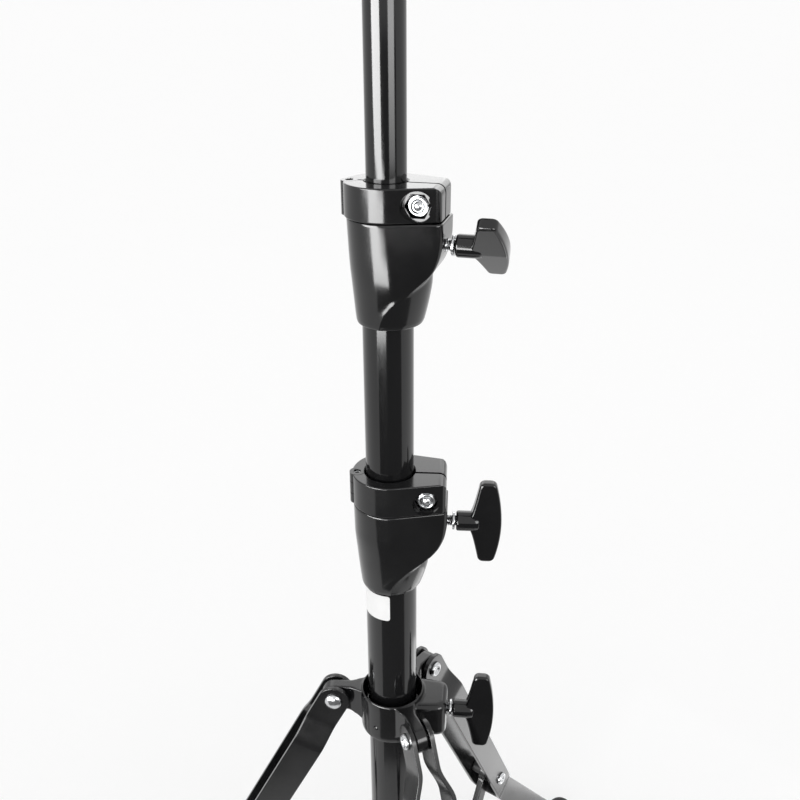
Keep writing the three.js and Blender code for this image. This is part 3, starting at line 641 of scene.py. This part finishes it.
def thread(r, pitch, z0, z1, depth=0.32, sides=28):
    """A screw thread from z0 to z1 with plain chamfered ends."""
    turns = np.arange(sides) / sides * TAU
    heights = np.arange(z0, z1, pitch / 7)
    rings = []
    for z in heights:
        fade = min(1, (z - z0) / 0.8 + 0.1, (z1 - z) / 0.8 + 0.1)
        wave = np.abs((z / pitch - turns / TAU) % 1 * 2 - 1)
        radius = r - depth * (1 - wave) - 0.45 * (1 - fade)
        rings.append(np.stack([radius * np.cos(turns), radius * np.sin(turns), np.full(sides, z)], 1))
    return grid(rings)


def lock_bolt(word, place, nut, z):
    """Square-keyed bolt: round head at the back, thread showing in the nut."""
    axis = across(nut.x, 0, z, 1)
    face = LOCKS[word]["face"]
    shank = thread(2.95, 1.0, nut.y - 1.9, 6.0)
    neck = pin(2.9, 5.8, face - 2, 0.1, 32)
    head = pin(5.2, face - 3.3, face + 0.1, 0.7, 64)
    key = prism(rounded([(-1.7, -1.7), (1.7, -1.7), (1.7, 1.7), (-1.7, 1.7)], 0.5, True, 3), face - 0.2,
                face + 5.4, 0.35)
    tip = lathe([(0, nut.y - 3.0), (0.8, nut.y - 2.92), (1.6, nut.y - 2.6), (2.2, nut.y - 2.05),
                 (2.5, nut.y - 1.3), (2.5, nut.y), (0, nut.y)], 32)
    obj = make(f"{word}_key_bolt", shank, place @ axis)
    combined(obj, *[("UNION", s, place @ axis) for s in (tip, neck, head, key)])
    return finished(obj, LOOK["chrome"], f"{word}_ring", f"{word}_lock_bolt")


# ------------------------------------------------------------------ wing screws
def wing_knob():
    """Two thin wings with a crowned outer edge, along +X from the hub's start. The span runs along Y."""
    hub, span, tip, root, end = 9.0, 24.6, 2.8, 4.3, 2.6
    straight = span - end
    turn_in = end * np.sin(np.radians(np.linspace(0, 84, 8)))
    spans = np.r_[-(straight + turn_in[::-1]), np.linspace(-straight, straight, 71)[1:-1], straight + turn_in]
    rings = []
    for y in spans:
        out = abs(y)
        shrink = end - math.sqrt(max(end**2 - max(out - straight, 0) ** 2, 0))
        near = hub - 1.2 + 5.6 * max(out / span - 0.2, 0) ** 0.8 + shrink
        far = hub + 15.4 - 3.6 * (out / span) ** 2 - shrink
        half = root - (root - tip) * out / span
        half *= math.sqrt(max(1 - (shrink / end) ** 2, 0.05))
        section = rounded([(near, -half), (far, -half), (far, half), (near, half)], min(1.5, half * 0.9),
                          True, 5)
        rings.append([(x, y, z) for x, z in section])
    return grid(rings)


def wing_hub():
    profile = rounded([(0, 0), (5.0, 0), (5.5, 0.8), (5.5, 9.4), (4.9, 12.5), (0, 12.8)],
                      [0, 0.4, 0.4, 2.4, 1.0, 0], steps=5)
    return lathe(profile, 72).moved(Matrix.Rotation(math.radians(90), 4, "Y"))


def wing_screw(word, turn):
    node = f"{word}_wing_knob"
    place = upright(WING_AZIMUTH[word])
    local = place.inverted()
    z = (local @ middle(f"{word}_wing_stud")).z
    start = HUB_START[word]
    axis = place @ Matrix.Translation((start, 0, z)) @ Matrix.Rotation(math.radians(turn), 4, "X")
    knob = make(node + "_moulding", wing_knob())
    combined(
        knob,
        ("UNION", wing_hub(), None),
        ("DIFFERENCE", lathe([(0, -1), (3.4, -1), (3.3, 0.4), (3.3, 6.8), (0, 6.8)], 32),
         Matrix.Rotation(math.radians(90), 4, "Y")),
    )
    knob.data.transform(in_metres(axis))
    finished(knob, LOOK["knob_plastic"], f"{word}_wing", node, 38)
    tip = STUD_TIP[word]
    along = place @ Matrix.Translation((0, 0, z)) @ Matrix.Rotation(math.radians(90), 4, "Y")
    stud = make(f"{word}_wing_thread", thread(2.95, 1.0, tip, start + 6), along)
    washer = lathe(rounded([(2.2, start - 2.0), (5.0, start - 2.0), (5.0, start - 0.7), (2.2, start - 0.7)],
                           0.3, True, 3), 64, True)
    combined(stud, ("UNION", washer, along))
    finished(stud, LOOK["chrome"], f"{word}_wing", f"{word}_wing_stud")


HUB_START = {"lower": 35.7, "upper": 33.5, "collar": 36.5}
STUD_TIP = {"lower": 15.5, "upper": 12.5, "collar": 14.6}
for word, lock in LOCKS.items():
    receiver(word, lock)
    clamp_ring(word, lock)
for word, turn in (("lower", 90), ("upper", -40), ("collar", 84)):
    wing_screw(word, turn)


# ------------------------------------------------------------------ sliding collar and lower hub
def ear_place(azimuth, z):
    """Local X outwards, local Z sideways."""
    return upright(azimuth, z) @ Matrix.Rotation(math.radians(-90), 4, "X")


def leg_collar():
    low, high = box("leg_collar")
    z0, z1 = low.z, high.z
    pivot = joint("leg_1_hinge")["pos_m"]
    pivot = Vector(pivot) / MM
    reach, pivot_z = from_axis(pivot), pivot.z
    body = lathe(rounded([(0, z0 - 0.5), (18.8, z0 - 0.5), (19.1, z0 + 2), (19.0, z1 - 3), (18.7, z1 + 0.3),
                          (0, z1 + 0.3)], [0, 0.8, 1.0, 1.5, 0.8, 0], steps=4), 96)
    obj = make("leg_collar_casting", body, upright(0))
    steps = []
    arc = [(reach + 8.2 * math.sin(a), -8.2 * math.cos(a)) for a in np.linspace(0.1, math.pi - 0.1, 16)]
    side = [(4, -8.6), (17, -8.7)] + arc + [(27, 8.9), (21, 11.0), (15.5, 14.4), (4, 15)]
    plan = [(4, -7.4), (15, -7.4), (25.4, -3.4), (50, -3.4), (50, 3.4), (25.4, 3.4), (15, 7.4), (4, 7.4)]
    for azimuth in LEG_AZIMUTHS:
        place = ear_place(azimuth, pivot_z)
        arm = combined(make("arm", prism(side, -9, 9, 0), place),
                       ("INTERSECT", prism(plan, -30, 30, 0),
                        place @ Matrix.Rotation(math.radians(90), 4, "X")))
        steps.append(arm)
    boss = prism(rounded([(0, -14.5), (20, -13.2), (33, -11.6), (33, 11.6), (20, 13.2), (0, 14.5)],
                         [0, 6, 6, 6, 6, 0], steps=8), z0 + 0.6, z1 - 2.8, 3.4, 5)
    combined(obj, ("UNION", boss, upright(WING_AZIMUTH["collar"])))
    for arm in steps:
        joined(obj, arm)
    cast(obj, 0.42, 7)
    dimple = lathe([(0, 17.4), (1.5, 19.0), (1.7, 24), (0, 24)], 24)
    combined(obj, ("DIFFERENCE", dimple, upright(-122, z0 + 9.3) @ Matrix.Rotation(math.radians(90), 4, "Y")))
    bore = lathe([(0, z0 - 1), (16.2, z0 - 1), (15.4, z0 + 0.6), (15.0, z0 + 1.6), (15.0, z1 - 8),
                  (15.4, z1 - 6.5), (16.4, z1 - 4.6), (16.8, z1 - 3.2), (17.0, z1 - 0.9), (17.9, z1 + 0.2),
                  (17.9, z1 + 1), (0, z1 + 1)], 96)
    cuts = [("DIFFERENCE", bore, upright(0))]
    hole = lathe([(0, 14), (3.3, 14), (3.3, 40), (0, 40)], 32)
    screw_z = middle("collar_wing_stud").z
    cuts.append(("DIFFERENCE", hole, upright(WING_AZIMUTH["collar"], screw_z)
                 @ Matrix.Rotation(math.radians(90), 4, "Y")))
    for azimuth in LEG_AZIMUTHS:
        eye = lathe([(0, -9), (3.3, -9), (3.3, 9), (0, 9)], 32)
        cuts.append(("DIFFERENCE", eye, upright(azimuth) @ across(reach, 0, pivot_z, 1)))
    combined(obj, *cuts)
    finished(obj, LOOK["cast_black"], "collar", "leg_collar", 45)


def brace_hub():
    low, high = box("brace_hub")
    z0, z1 = low.z, high.z
    pivot = Vector(joint("brace_1_hinge")["pos_m"]) / MM
    reach, pivot_z = from_axis(pivot), pivot.z
    body = lathe(rounded([(0, z0), (18.6, z0), (18.6, z1), (0, z1)], [0, 1.2, 1.2, 0], steps=4), 96)
    obj = make("brace_hub_casting", body, upright(0))
    for azimuth in LEG_AZIMUTHS:
        combined(obj, ("UNION", plate(bar_outline(6, reach + 6.5, 6.5), -3.2, 3.2, 0.6),
                       ear_place(azimuth, pivot_z)))
    cast(obj, 0.45, 6)
    cuts = [("DIFFERENCE", lathe([(0, z0 - 1), (14.9, z0 - 1), (14.6, z0 + 0.3), (14.6, z1 - 0.3),
                                  (14.9, z1 + 1), (0, z1 + 1)], 96), upright(0))]
    for azimuth in LEG_AZIMUTHS:
        cuts.append(("DIFFERENCE", lathe([(0, -9), (3.0, -9), (3.0, 9), (0, 9)], 32),
                     upright(azimuth) @ across(reach, 0, pivot_z, 1)))
    cuts.append(("DIFFERENCE", lathe([(0, 8), (2.8, 8), (2.8, 30), (0, 30)], 32),
                 upright(WING_AZIMUTH["collar"], (z0 + z1) / 2) @ Matrix.Rotation(math.radians(90), 4, "Y")))
    combined(obj, *cuts)
    finished(obj, LOOK["cast_black"], "base", "brace_hub", 45)


leg_collar()
brace_hub()


# ------------------------------------------------------------------ legs
SLOPE, FOOT_SLOPE = 63.0, 52.0
WIDE, THICK = 19.0, 2.8
BEND_START, BEND_END, LEG_END = 202.0, 226.0, 442.0
BEND_AT = (BEND_START + BEND_END) / 2
BEND = math.radians(SLOPE - FOOT_SLOPE)
JOGGLE = (16.0, 37.0)
AT_EAR, SPREAD_OUT, AT_FOOT = 4.2, 10.2, 6.2
BRACE_AT = 190.0
FOOT_R = 281.0
LEG_PIVOT = Vector(joint("leg_1_hinge")["pos_m"]) / MM
LEG_R, LEG_Z = from_axis(LEG_PIVOT), LEG_PIVOT.z
HUB_PIVOT = Vector(joint("brace_1_hinge")["pos_m"]) / MM
HUB_R, HUB_Z = from_axis(HUB_PIVOT), HUB_PIVOT.z


def strip_offset(s):
    """How far a strip's inner face stands from the leg's middle plane at s along the leg."""
    out = AT_EAR + (SPREAD_OUT - AT_EAR) * s_curve((s - JOGGLE[0]) / (JOGGLE[1] - JOGGLE[0]))
    return out + (AT_FOOT - SPREAD_OUT) * s_curve((s - BEND_START) / (BEND_END - BEND_START))


def down_the_leg(s, w):
    """Leg-frame X and Z of a point s along the bent strip and w across it."""
    radius = (BEND_END - BEND_START) / BEND
    turn = np.clip((s - BEND_START) / (BEND_END - BEND_START), 0, 1) * BEND
    before = np.minimum(s, BEND_START)
    after = np.maximum(s - BEND_END, 0)
    x = before + radius * np.sin(turn) + after * np.cos(turn) - w * np.sin(turn)
    z = radius * (1 - np.cos(turn)) + after * np.sin(turn) + w * np.cos(turn)
    return x, z


def strip(side):
    half, end = WIDE / 2, LEG_END - 4
    arc = np.radians(np.linspace(6, 90, 12))
    stations = [(-half * math.cos(a), half * math.sin(a)) for a in arc]
    stations += [(s, half) for s in np.r_[np.arange(2, 60, 1.5), np.arange(62, 196, 12),
                                          np.arange(198, 232, 2), np.arange(240, end - half - 2, 20)]]
    stations += [(end - half + half * math.cos(a), half * math.sin(a)) for a in reversed(arc)]
    flat = plate(stations, 0, THICK, 0.4, 3)

    def bent(v):
        s, w, n = v[:, 0].copy(), v[:, 1].copy(), v[:, 2].copy()
        v[:, 0], v[:, 2] = down_the_leg(s, w)
        v[:, 1] = side * (strip_offset(s) + n)
        return v

    return flat.mapped(bent)


def dome(r, h, at, hollow=0.0):
    """Rivet head on top of height at: a low dome, or a rolled ring with a hollow."""
    if hollow:
        profile = [(0, at - 0.4), (0, at + h * 0.25), (hollow * 0.7, at + h * 0.3), (hollow, at + h * 0.75),
                   ((r + hollow) / 2, at + h), (r * 0.93, at + h * 0.72), (r, at + h * 0.2), (r, at)]
        return rounded(profile, [0, 0, 0.6, 0.5, 0.9, 0.5, 0.3, 0], steps=3)
    arc = np.linspace(math.pi / 2, 0.12, 9)
    return [(r * math.cos(a), at + h * math.sin(a)) for a in arc] + [(r, at)]


def rivet(grip, shank=2.7):
    """Through rivet along Z: a dome on the +Z side and a rolled end on the -Z side."""
    top = dome(5.3, 2.3, grip + 0.3)
    end = dome(4.7, 2.0, grip + 0.3, 2.4)[1:]
    profile = [(r, z) for r, z in top] + [(shank, grip + 0.3), (shank, -grip - 0.3)]
    profile += [(r, -z) for r, z in reversed(end)]
    return lathe(profile, 48)


def stub(inner, outer, rolled, shank=2.7):
    head = dome(4.7, 2.0, outer + 0.3, 2.4)[1:] if rolled else dome(5.3, 2.3, outer + 0.3)
    return lathe([(r, z) for r, z in head] + [(shank, outer + 0.3), (shank, inner), (0, inner)], 48)


def leg(index, azimuth):
    body = f"leg_{index}"
    place = lean(azimuth, LEG_R, LEG_Z, SLOPE)
    for word, side in (("left", 1), ("right", -1)):
        node = f"{body}_strip_{word}"
        obj = make(node + "_steel", strip(side), place)
        finished(obj, LOOK["strip_black"], body, node)
        node = f"{body}_brace_rivet_{word}"
        head = stub(SPREAD_OUT + 0.2, SPREAD_OUT + THICK, side < 0)
        finished(make(node + "_turned", head, place @ across(BRACE_AT, 0, 0, side)), LOOK["chrome"], body,
                 node)
    node = f"{body}_pivot_rivet"
    finished(make(node + "_turned", rivet(AT_EAR + THICK), place @ across(0, 0, 0, 1)), LOOK["chrome"], body,
             node)
    foot(azimuth, body)


def foot(azimuth, body):
    node = f"{body}_foot"
    x, z = foot_rivet_xz()
    leg_place = lean(azimuth, LEG_R, LEG_Z, SLOPE)
    finished(make(f"{body}_foot_rivet_turned", rivet(AT_FOOT + THICK), leg_place @ across(x, 0, z, 1)),
             LOOK["chrome"], body, f"{body}_foot_rivet")
    row = upright(azimuth).inverted() @ (leg_place @ Vector((x, 0, z)))
    pad = lathe(rounded([(0, 0), (12.6, 0), (14.0, 1.6), (14.0, 6.5), (12.1, 22.0), (9.5, 26.0), (6.5, 27.0),
                         (0, 27.0)], [0, 0.8, 0.8, 1.6, 3, 2, 1, 0], steps=4), 72)
    groove = lathe(rounded([(13.2, 8.2), (15, 8.0), (15, 9.6), (13.2, 9.4)], 0.3, True, 2), 72, True)
    place = Matrix.Translation((FOOT_R, 0, 0))
    obj = make(node + "_rubber", pad, place)
    half, tongue_r = AT_FOOT - 0.3, 8.6
    tongue = plate(bar_outline(-12 - tongue_r, 26 + tongue_r, tongue_r), -half, half, 0.8)
    turn = Matrix.Translation((row.x, 0, row.z)) @ Matrix.Rotation(
        math.radians(FOOT_SLOPE), 4, "Y") @ Matrix.Rotation(math.radians(-90), 4, "X")
    floor_cut = block(-60, 60, -40, 40, -60, 0)
    steps = [("UNION", tongue, turn), ("DIFFERENCE", floor_cut, place), ("DIFFERENCE", groove, place)]
    inner, outer = half - 0.1, 24  # room for the strips, on both sides of the tongue
    for z0, z1 in ((inner, outer), (-outer, -inner)):
        steps.append(("DIFFERENCE", plate(bar_outline(-60, 10.9, 9.9), z0, z1, 0), turn))
    combined(obj, *steps)
    obj.data.transform(in_metres(upright(azimuth)))
    finished(obj, LOOK["rubber"], body, node, 40)


def foot_rivet_xz():
    s = LEG_END - BEND_AT - WIDE / 2 - 1
    return BEND_AT + s * math.cos(BEND), s * math.sin(BEND)


for index, azimuth in enumerate(LEG_AZIMUTHS, 1):
    leg(index, azimuth)


# ------------------------------------------------------------------ braces
def brace(index, azimuth):
    slope = math.radians(SLOPE)
    top_r = LEG_R + BRACE_AT * math.cos(slope)
    top_z = LEG_Z - BRACE_AT * math.sin(slope)
    run = math.hypot(top_r - HUB_R, top_z - HUB_Z)
    rise = math.degrees(math.atan2(top_z - HUB_Z, top_r - HUB_R))
    place = lean(azimuth, HUB_R, HUB_Z, -rise)
    sideways = Matrix.Rotation(math.radians(-90), 4, "X")
    wide, half = 5.5, 2.5
    fork, ear = 26.0, 3.2
    outer = ear + 0.3 + 2.6
    node = f"brace_{index}"
    obj = make(node + "_steel", plate(bar_outline(-wide - 0.2, fork + wide, wide + 0.2), -outer, outer, 0.7),
               sideways)
    eye = make(node + "_eye", pin(7.0, -half, half, 0.5, 48), sideways @ Matrix.Translation((run, 0, 0)))
    combined(
        eye,
        ("UNION", plate(bar_outline(fork - 4, run - 2, wide, wide), -half + 0.1, half - 0.1, 0.6), sideways),
        ("DIFFERENCE", lathe([(0, -20), (5.0, -20), (5.0, 20), (0, 20)], 48),
         sideways @ Matrix.Translation((run, 0, 0))),
    )
    combined(
        obj,
        ("DIFFERENCE", lathe([(0, -20), (3.0, -20), (3.0, 20), (0, 20)], 32), sideways),
        ("DIFFERENCE", block(-20, fork - 6, -20, 20, -ear - 0.3, ear + 0.3), sideways),
    )
    joined(obj, eye)
    obj.data.transform(in_metres(place))
    finished(obj, LOOK["strip_black"], node, node)
    bush = pipe(3.1, 4.7, -SPREAD_OUT + 0.3, SPREAD_OUT - 0.3, 0.4, 48)
    finished(make(node + "_bush_turned", bush, place @ sideways @ Matrix.Translation((run, 0, 0))),
             LOOK["nylon"], node, node + "_bush")
    finished(make(node + "_hub_rivet_turned", rivet(outer), place @ across(0, 0, 0, 1)), LOOK["chrome"], node,
             node + "_hub_rivet")


for index, azimuth in enumerate(LEG_AZIMUTHS, 1):
    brace(index, azimuth)


# ------------------------------------------------------------------ top and bottom ends
def spigot():
    low, high = box("speaker_spigot")
    z0, z1 = low.z, high.z
    r, flange = 17.5, (high.x - low.x) / 2
    outer = [(0, z0), (r, z0), (r, z0 + 10), (flange, z0 + 10), (flange, z0 + 15), (r, z0 + 15), (r, z1 - 4),
             (r - 3.5, z1), (0, z1)]
    body = lathe(rounded(outer, [0, 1.0, 0.8, 1.2, 1.2, 0.8, 1.2, 1.2, 0], steps=4), 128)
    obj = make("speaker_spigot_moulding", body, upright(0))
    place = upright(WING_AZIMUTH["upper"], z0 + 5) @ Matrix.Rotation(math.radians(90), 4, "Y")
    bore, bore_end = TOP_R + 0.3, box("top_tube")[1].z + 0.3
    combined(
        obj,
        ("DIFFERENCE", lathe([(0, z0 - 1), (TOP_R + 0.6, z0 - 1), (bore, z0 + 0.5), (bore, bore_end),
                              (0, bore_end)], 96), upright(0)),
        ("DIFFERENCE", lathe([(0, 6), (2.8, 6), (2.8, 30), (0, 30)], 32), place),
    )
    finished(obj, LOOK["nylon"], "top_mast", "speaker_spigot", 40)
    shank = pin(2.5, TOP_R + 0.3, r + 0.6, 0.3, 32)
    screw = make("spigot_screw_turned", shank, place)
    combined(
        screw,
        ("UNION", pin(4.2, r + 0.3, r + 2.8, 0.7, 48), place),
        ("DIFFERENCE", block(-0.6, 0.6, -6, 6, r + 1.9, r + 5), place),
    )
    finished(screw, LOOK["chrome"], "top_mast", "spigot_screw")


def hub_screw():
    low, high = box("brace_hub_screw")
    place = upright(WING_AZIMUTH["collar"], (low.z + high.z) / 2) @ Matrix.Rotation(math.radians(90), 4, "Y")
    screw = make("brace_hub_screw_turned", pin(2.5, 14.6, 19.2, 0.3, 32), place)
    combined(
        screw,
        ("UNION", pin(4.4, 18.9, 21.8, 0.5, 48), place),
        ("DIFFERENCE", lathe([(0, 20.0), (2.4, 20.0), (2.4, 24), (0, 24)], 6), place),
    )
    finished(screw, LOOK["chrome"], "base", "brace_hub_screw")


def tube_plug():
    low, high = box("tube_end_plug")
    z0, z1, r = low.z, high.z, LOWER_R
    profile = [(0, z0), (r, z0), (r, z0 + 2.7), (r - 1.5, z0 + 2.7), (r - 1.5, z1), (r - 4.2, z1),
               (r - 4.2, z0 + 6), (0, z0 + 6)]
    shape = lathe(rounded(profile, [0, 0.8, 0.3, 0, 0.4, 0.4, 0, 0], steps=3), 96)
    finished(make("tube_end_plug_moulding", shape, upright(0)), LOOK["nylon"], "base",
             "tube_end_plug")


def label():
    """A blank sticker wrapped round part of the lower tube."""
    z0, z1, start, end = 454.6, 471.2, 146.0, 267.0
    r, film, corner = LOWER_R + 0.03, 0.12, 1.6
    length = math.radians(end - start) * r
    stations = bar_outline(0, length, (z1 - z0) / 2, corner, 6)
    stations = stations[:6] + [(x, (z1 - z0) / 2) for x in np.linspace(corner, length - corner, 44)[1:-1]] + \
        stations[-6:]
    flat = plate(stations, 0, film, 0.04, 1)

    def wrapped(v):
        turn = math.radians(start) + v[:, 0] / r
        out = r + v[:, 2]
        return np.stack([out * np.cos(turn), out * np.sin(turn), (z0 + z1) / 2 + v[:, 1]], 1)

    finished(make("label_film", flat.mapped(wrapped), upright(0)), LOOK["label_white"], "base")


spigot()
hub_screw()
tube_plug()
label()
for node in ("lower_bushing", "upper_bushing"):
    shown = frame["nodes"][node]
    shown.data.materials.clear()
    shown.data.materials.append(LOOK["nylon"])


# ------------------------------------------------------------------ studio
def plain(name, colour, strength=None, fade=None):
    material = bpy.data.materials.new(name)
    material.use_nodes = True
    tree = material.node_tree
    shader = tree.nodes["Principled BSDF"]
    if strength is None:
        n = Nodes(material)
        shade = n.mixed(n.noise(3, 2), colour, tuple(c * 0.995 for c in colour))
        n.link(shade, n.shader.inputs["Base Color"])
        shader.inputs["Roughness"].default_value = 0.9
        shader.inputs["Specular IOR Level"].default_value = 0.1
        return material
    tree.nodes.remove(shader)
    glow = tree.nodes.new("ShaderNodeEmission")
    glow.inputs["Color"].default_value = (*colour, 1)
    glow.inputs["Strength"].default_value = strength
    tree.links.new(glow.outputs[0], tree.nodes["Material Output"].inputs[0])
    if fade:
        place = tree.nodes.new("ShaderNodeNewGeometry")
        split = tree.nodes.new("ShaderNodeSeparateXYZ")
        ramp = tree.nodes.new("ShaderNodeMapRange")
        tree.links.new(place.outputs["Position"], split.inputs[0])
        tree.links.new(split.outputs["Z"], ramp.inputs["Value"])
        for key, value in zip(("From Min", "From Max", "To Min", "To Max"), fade):
            ramp.inputs[key].default_value = value
        tree.links.new(ramp.outputs["Result"], glow.inputs["Strength"])
    return material


def staged(name, rows, material, seen=True):
    """A sheet from rows of metre points."""
    rows = np.asarray(rows, float)
    m, n = rows.shape[:2]
    faces = [(i * n + j, i * n + j + 1, (i + 1) * n + j + 1, (i + 1) * n + j)
             for i in range(m - 1) for j in range(n - 1)]
    mesh = bpy.data.meshes.new(name)
    mesh.from_pydata(rows.reshape(-1, 3).tolist(), [], faces)
    mesh.materials.append(material)
    obj = bpy.data.objects.new(name, mesh)
    bpy.context.scene.collection.objects.link(obj)
    if not seen:
        obj.visible_camera = obj.visible_diffuse = obj.visible_shadow = False
        obj.visible_transmission = obj.visible_volume_scatter = False
    return obj


CENTRE = AXIS * MM


def around(azimuth, radius, z):
    """A point at that azimuth from the camera's side of the stand, positive to the right."""
    a = math.radians(azimuth - 90)
    return CENTRE.x + radius * math.cos(a), CENTRE.y + radius * math.sin(a), z


def studio():
    scene = bpy.context.scene
    world = bpy.data.worlds.new("studio")
    scene.world = world
    world.use_nodes = True
    world.node_tree.nodes["Background"].inputs["Color"].default_value = (1, 1, 1, 1)
    world.node_tree.nodes["Background"].inputs["Strength"].default_value = 0.985
    far = 150
    staged("floor", [[(-far, -far, -5e-4), (far, -far, -5e-4)], [(-far, far, -5e-4), (far, far, -5e-4)]],
           plain("floor_white", (0.99, 0.99, 0.99)))
    turns = np.linspace(-46, 60, 28)
    staged("front_card", [[around(a, r, 0.004) for a in turns] for r in (0.33, 1, 3, 18)],
           plain("card_dark", (1, 1, 1), 0.17), seen=False)
    left = []
    for z, centre, half in ((0.16, -30, 21), (0.3, -29, 20), (0.455, -28, 20), (0.5, -44, 19), (0.6, -47, 22),
                            (0.72, -48, 22), (1.0, -52, 22)):
        left.append([around(a, 1.2, z) for a in np.linspace(centre - half, centre + half, 12)])
    staged("left_box", left, plain("left_glow", (1, 1, 1), 17, (0.3, 0.72, 14, 21)), seen=False)
    right = [[around(a, 1.2, z) for a in np.linspace(18, 50, 10)] for z in (0.48, 0.6, 0.8, 1.1)]
    staged("right_box", right, plain("right_glow", (1, 1, 1), 6, (0.48, 0.72, 3, 8)), seen=False)
    back = [[around(a, 3.0, z) for a in np.linspace(148, 212, 14)] for z in (0.85, 1.4, 2.2, 3.2)]
    staged("back_card", back, plain("back_glow", (1, 1, 1), 2.4), seen=False)
    side = [[around(a, r, 0.004) for a in np.linspace(100, 145, 10)] for r in (0.3, 0.4, 0.52)]
    staged("side_card", side, plain("side_glow", (1, 1, 1), 2.2), seen=False)
    scene.view_settings.view_transform = "Standard"
    scene.view_settings.look = "None"


def camera():
    """Looks 25 degrees down at the middle of the stand, from the front."""
    data = bpy.data.cameras.new("view")
    data.lens, data.sensor_width = 39.87, 36
    data.clip_start, data.clip_end = 0.02, 400
    obj = bpy.data.objects.new("view", data)
    bpy.context.scene.collection.objects.link(obj)
    lift = Matrix.Rotation(math.radians(65), 4, "X") @ Matrix.Rotation(math.radians(-0.378), 4, "Z")
    obj.matrix_world = Matrix.Translation((CENTRE.x + 0.0056, CENTRE.y - 0.4104, 0.7754)) @ lift
    bpy.context.scene.camera = obj


studio()
camera()
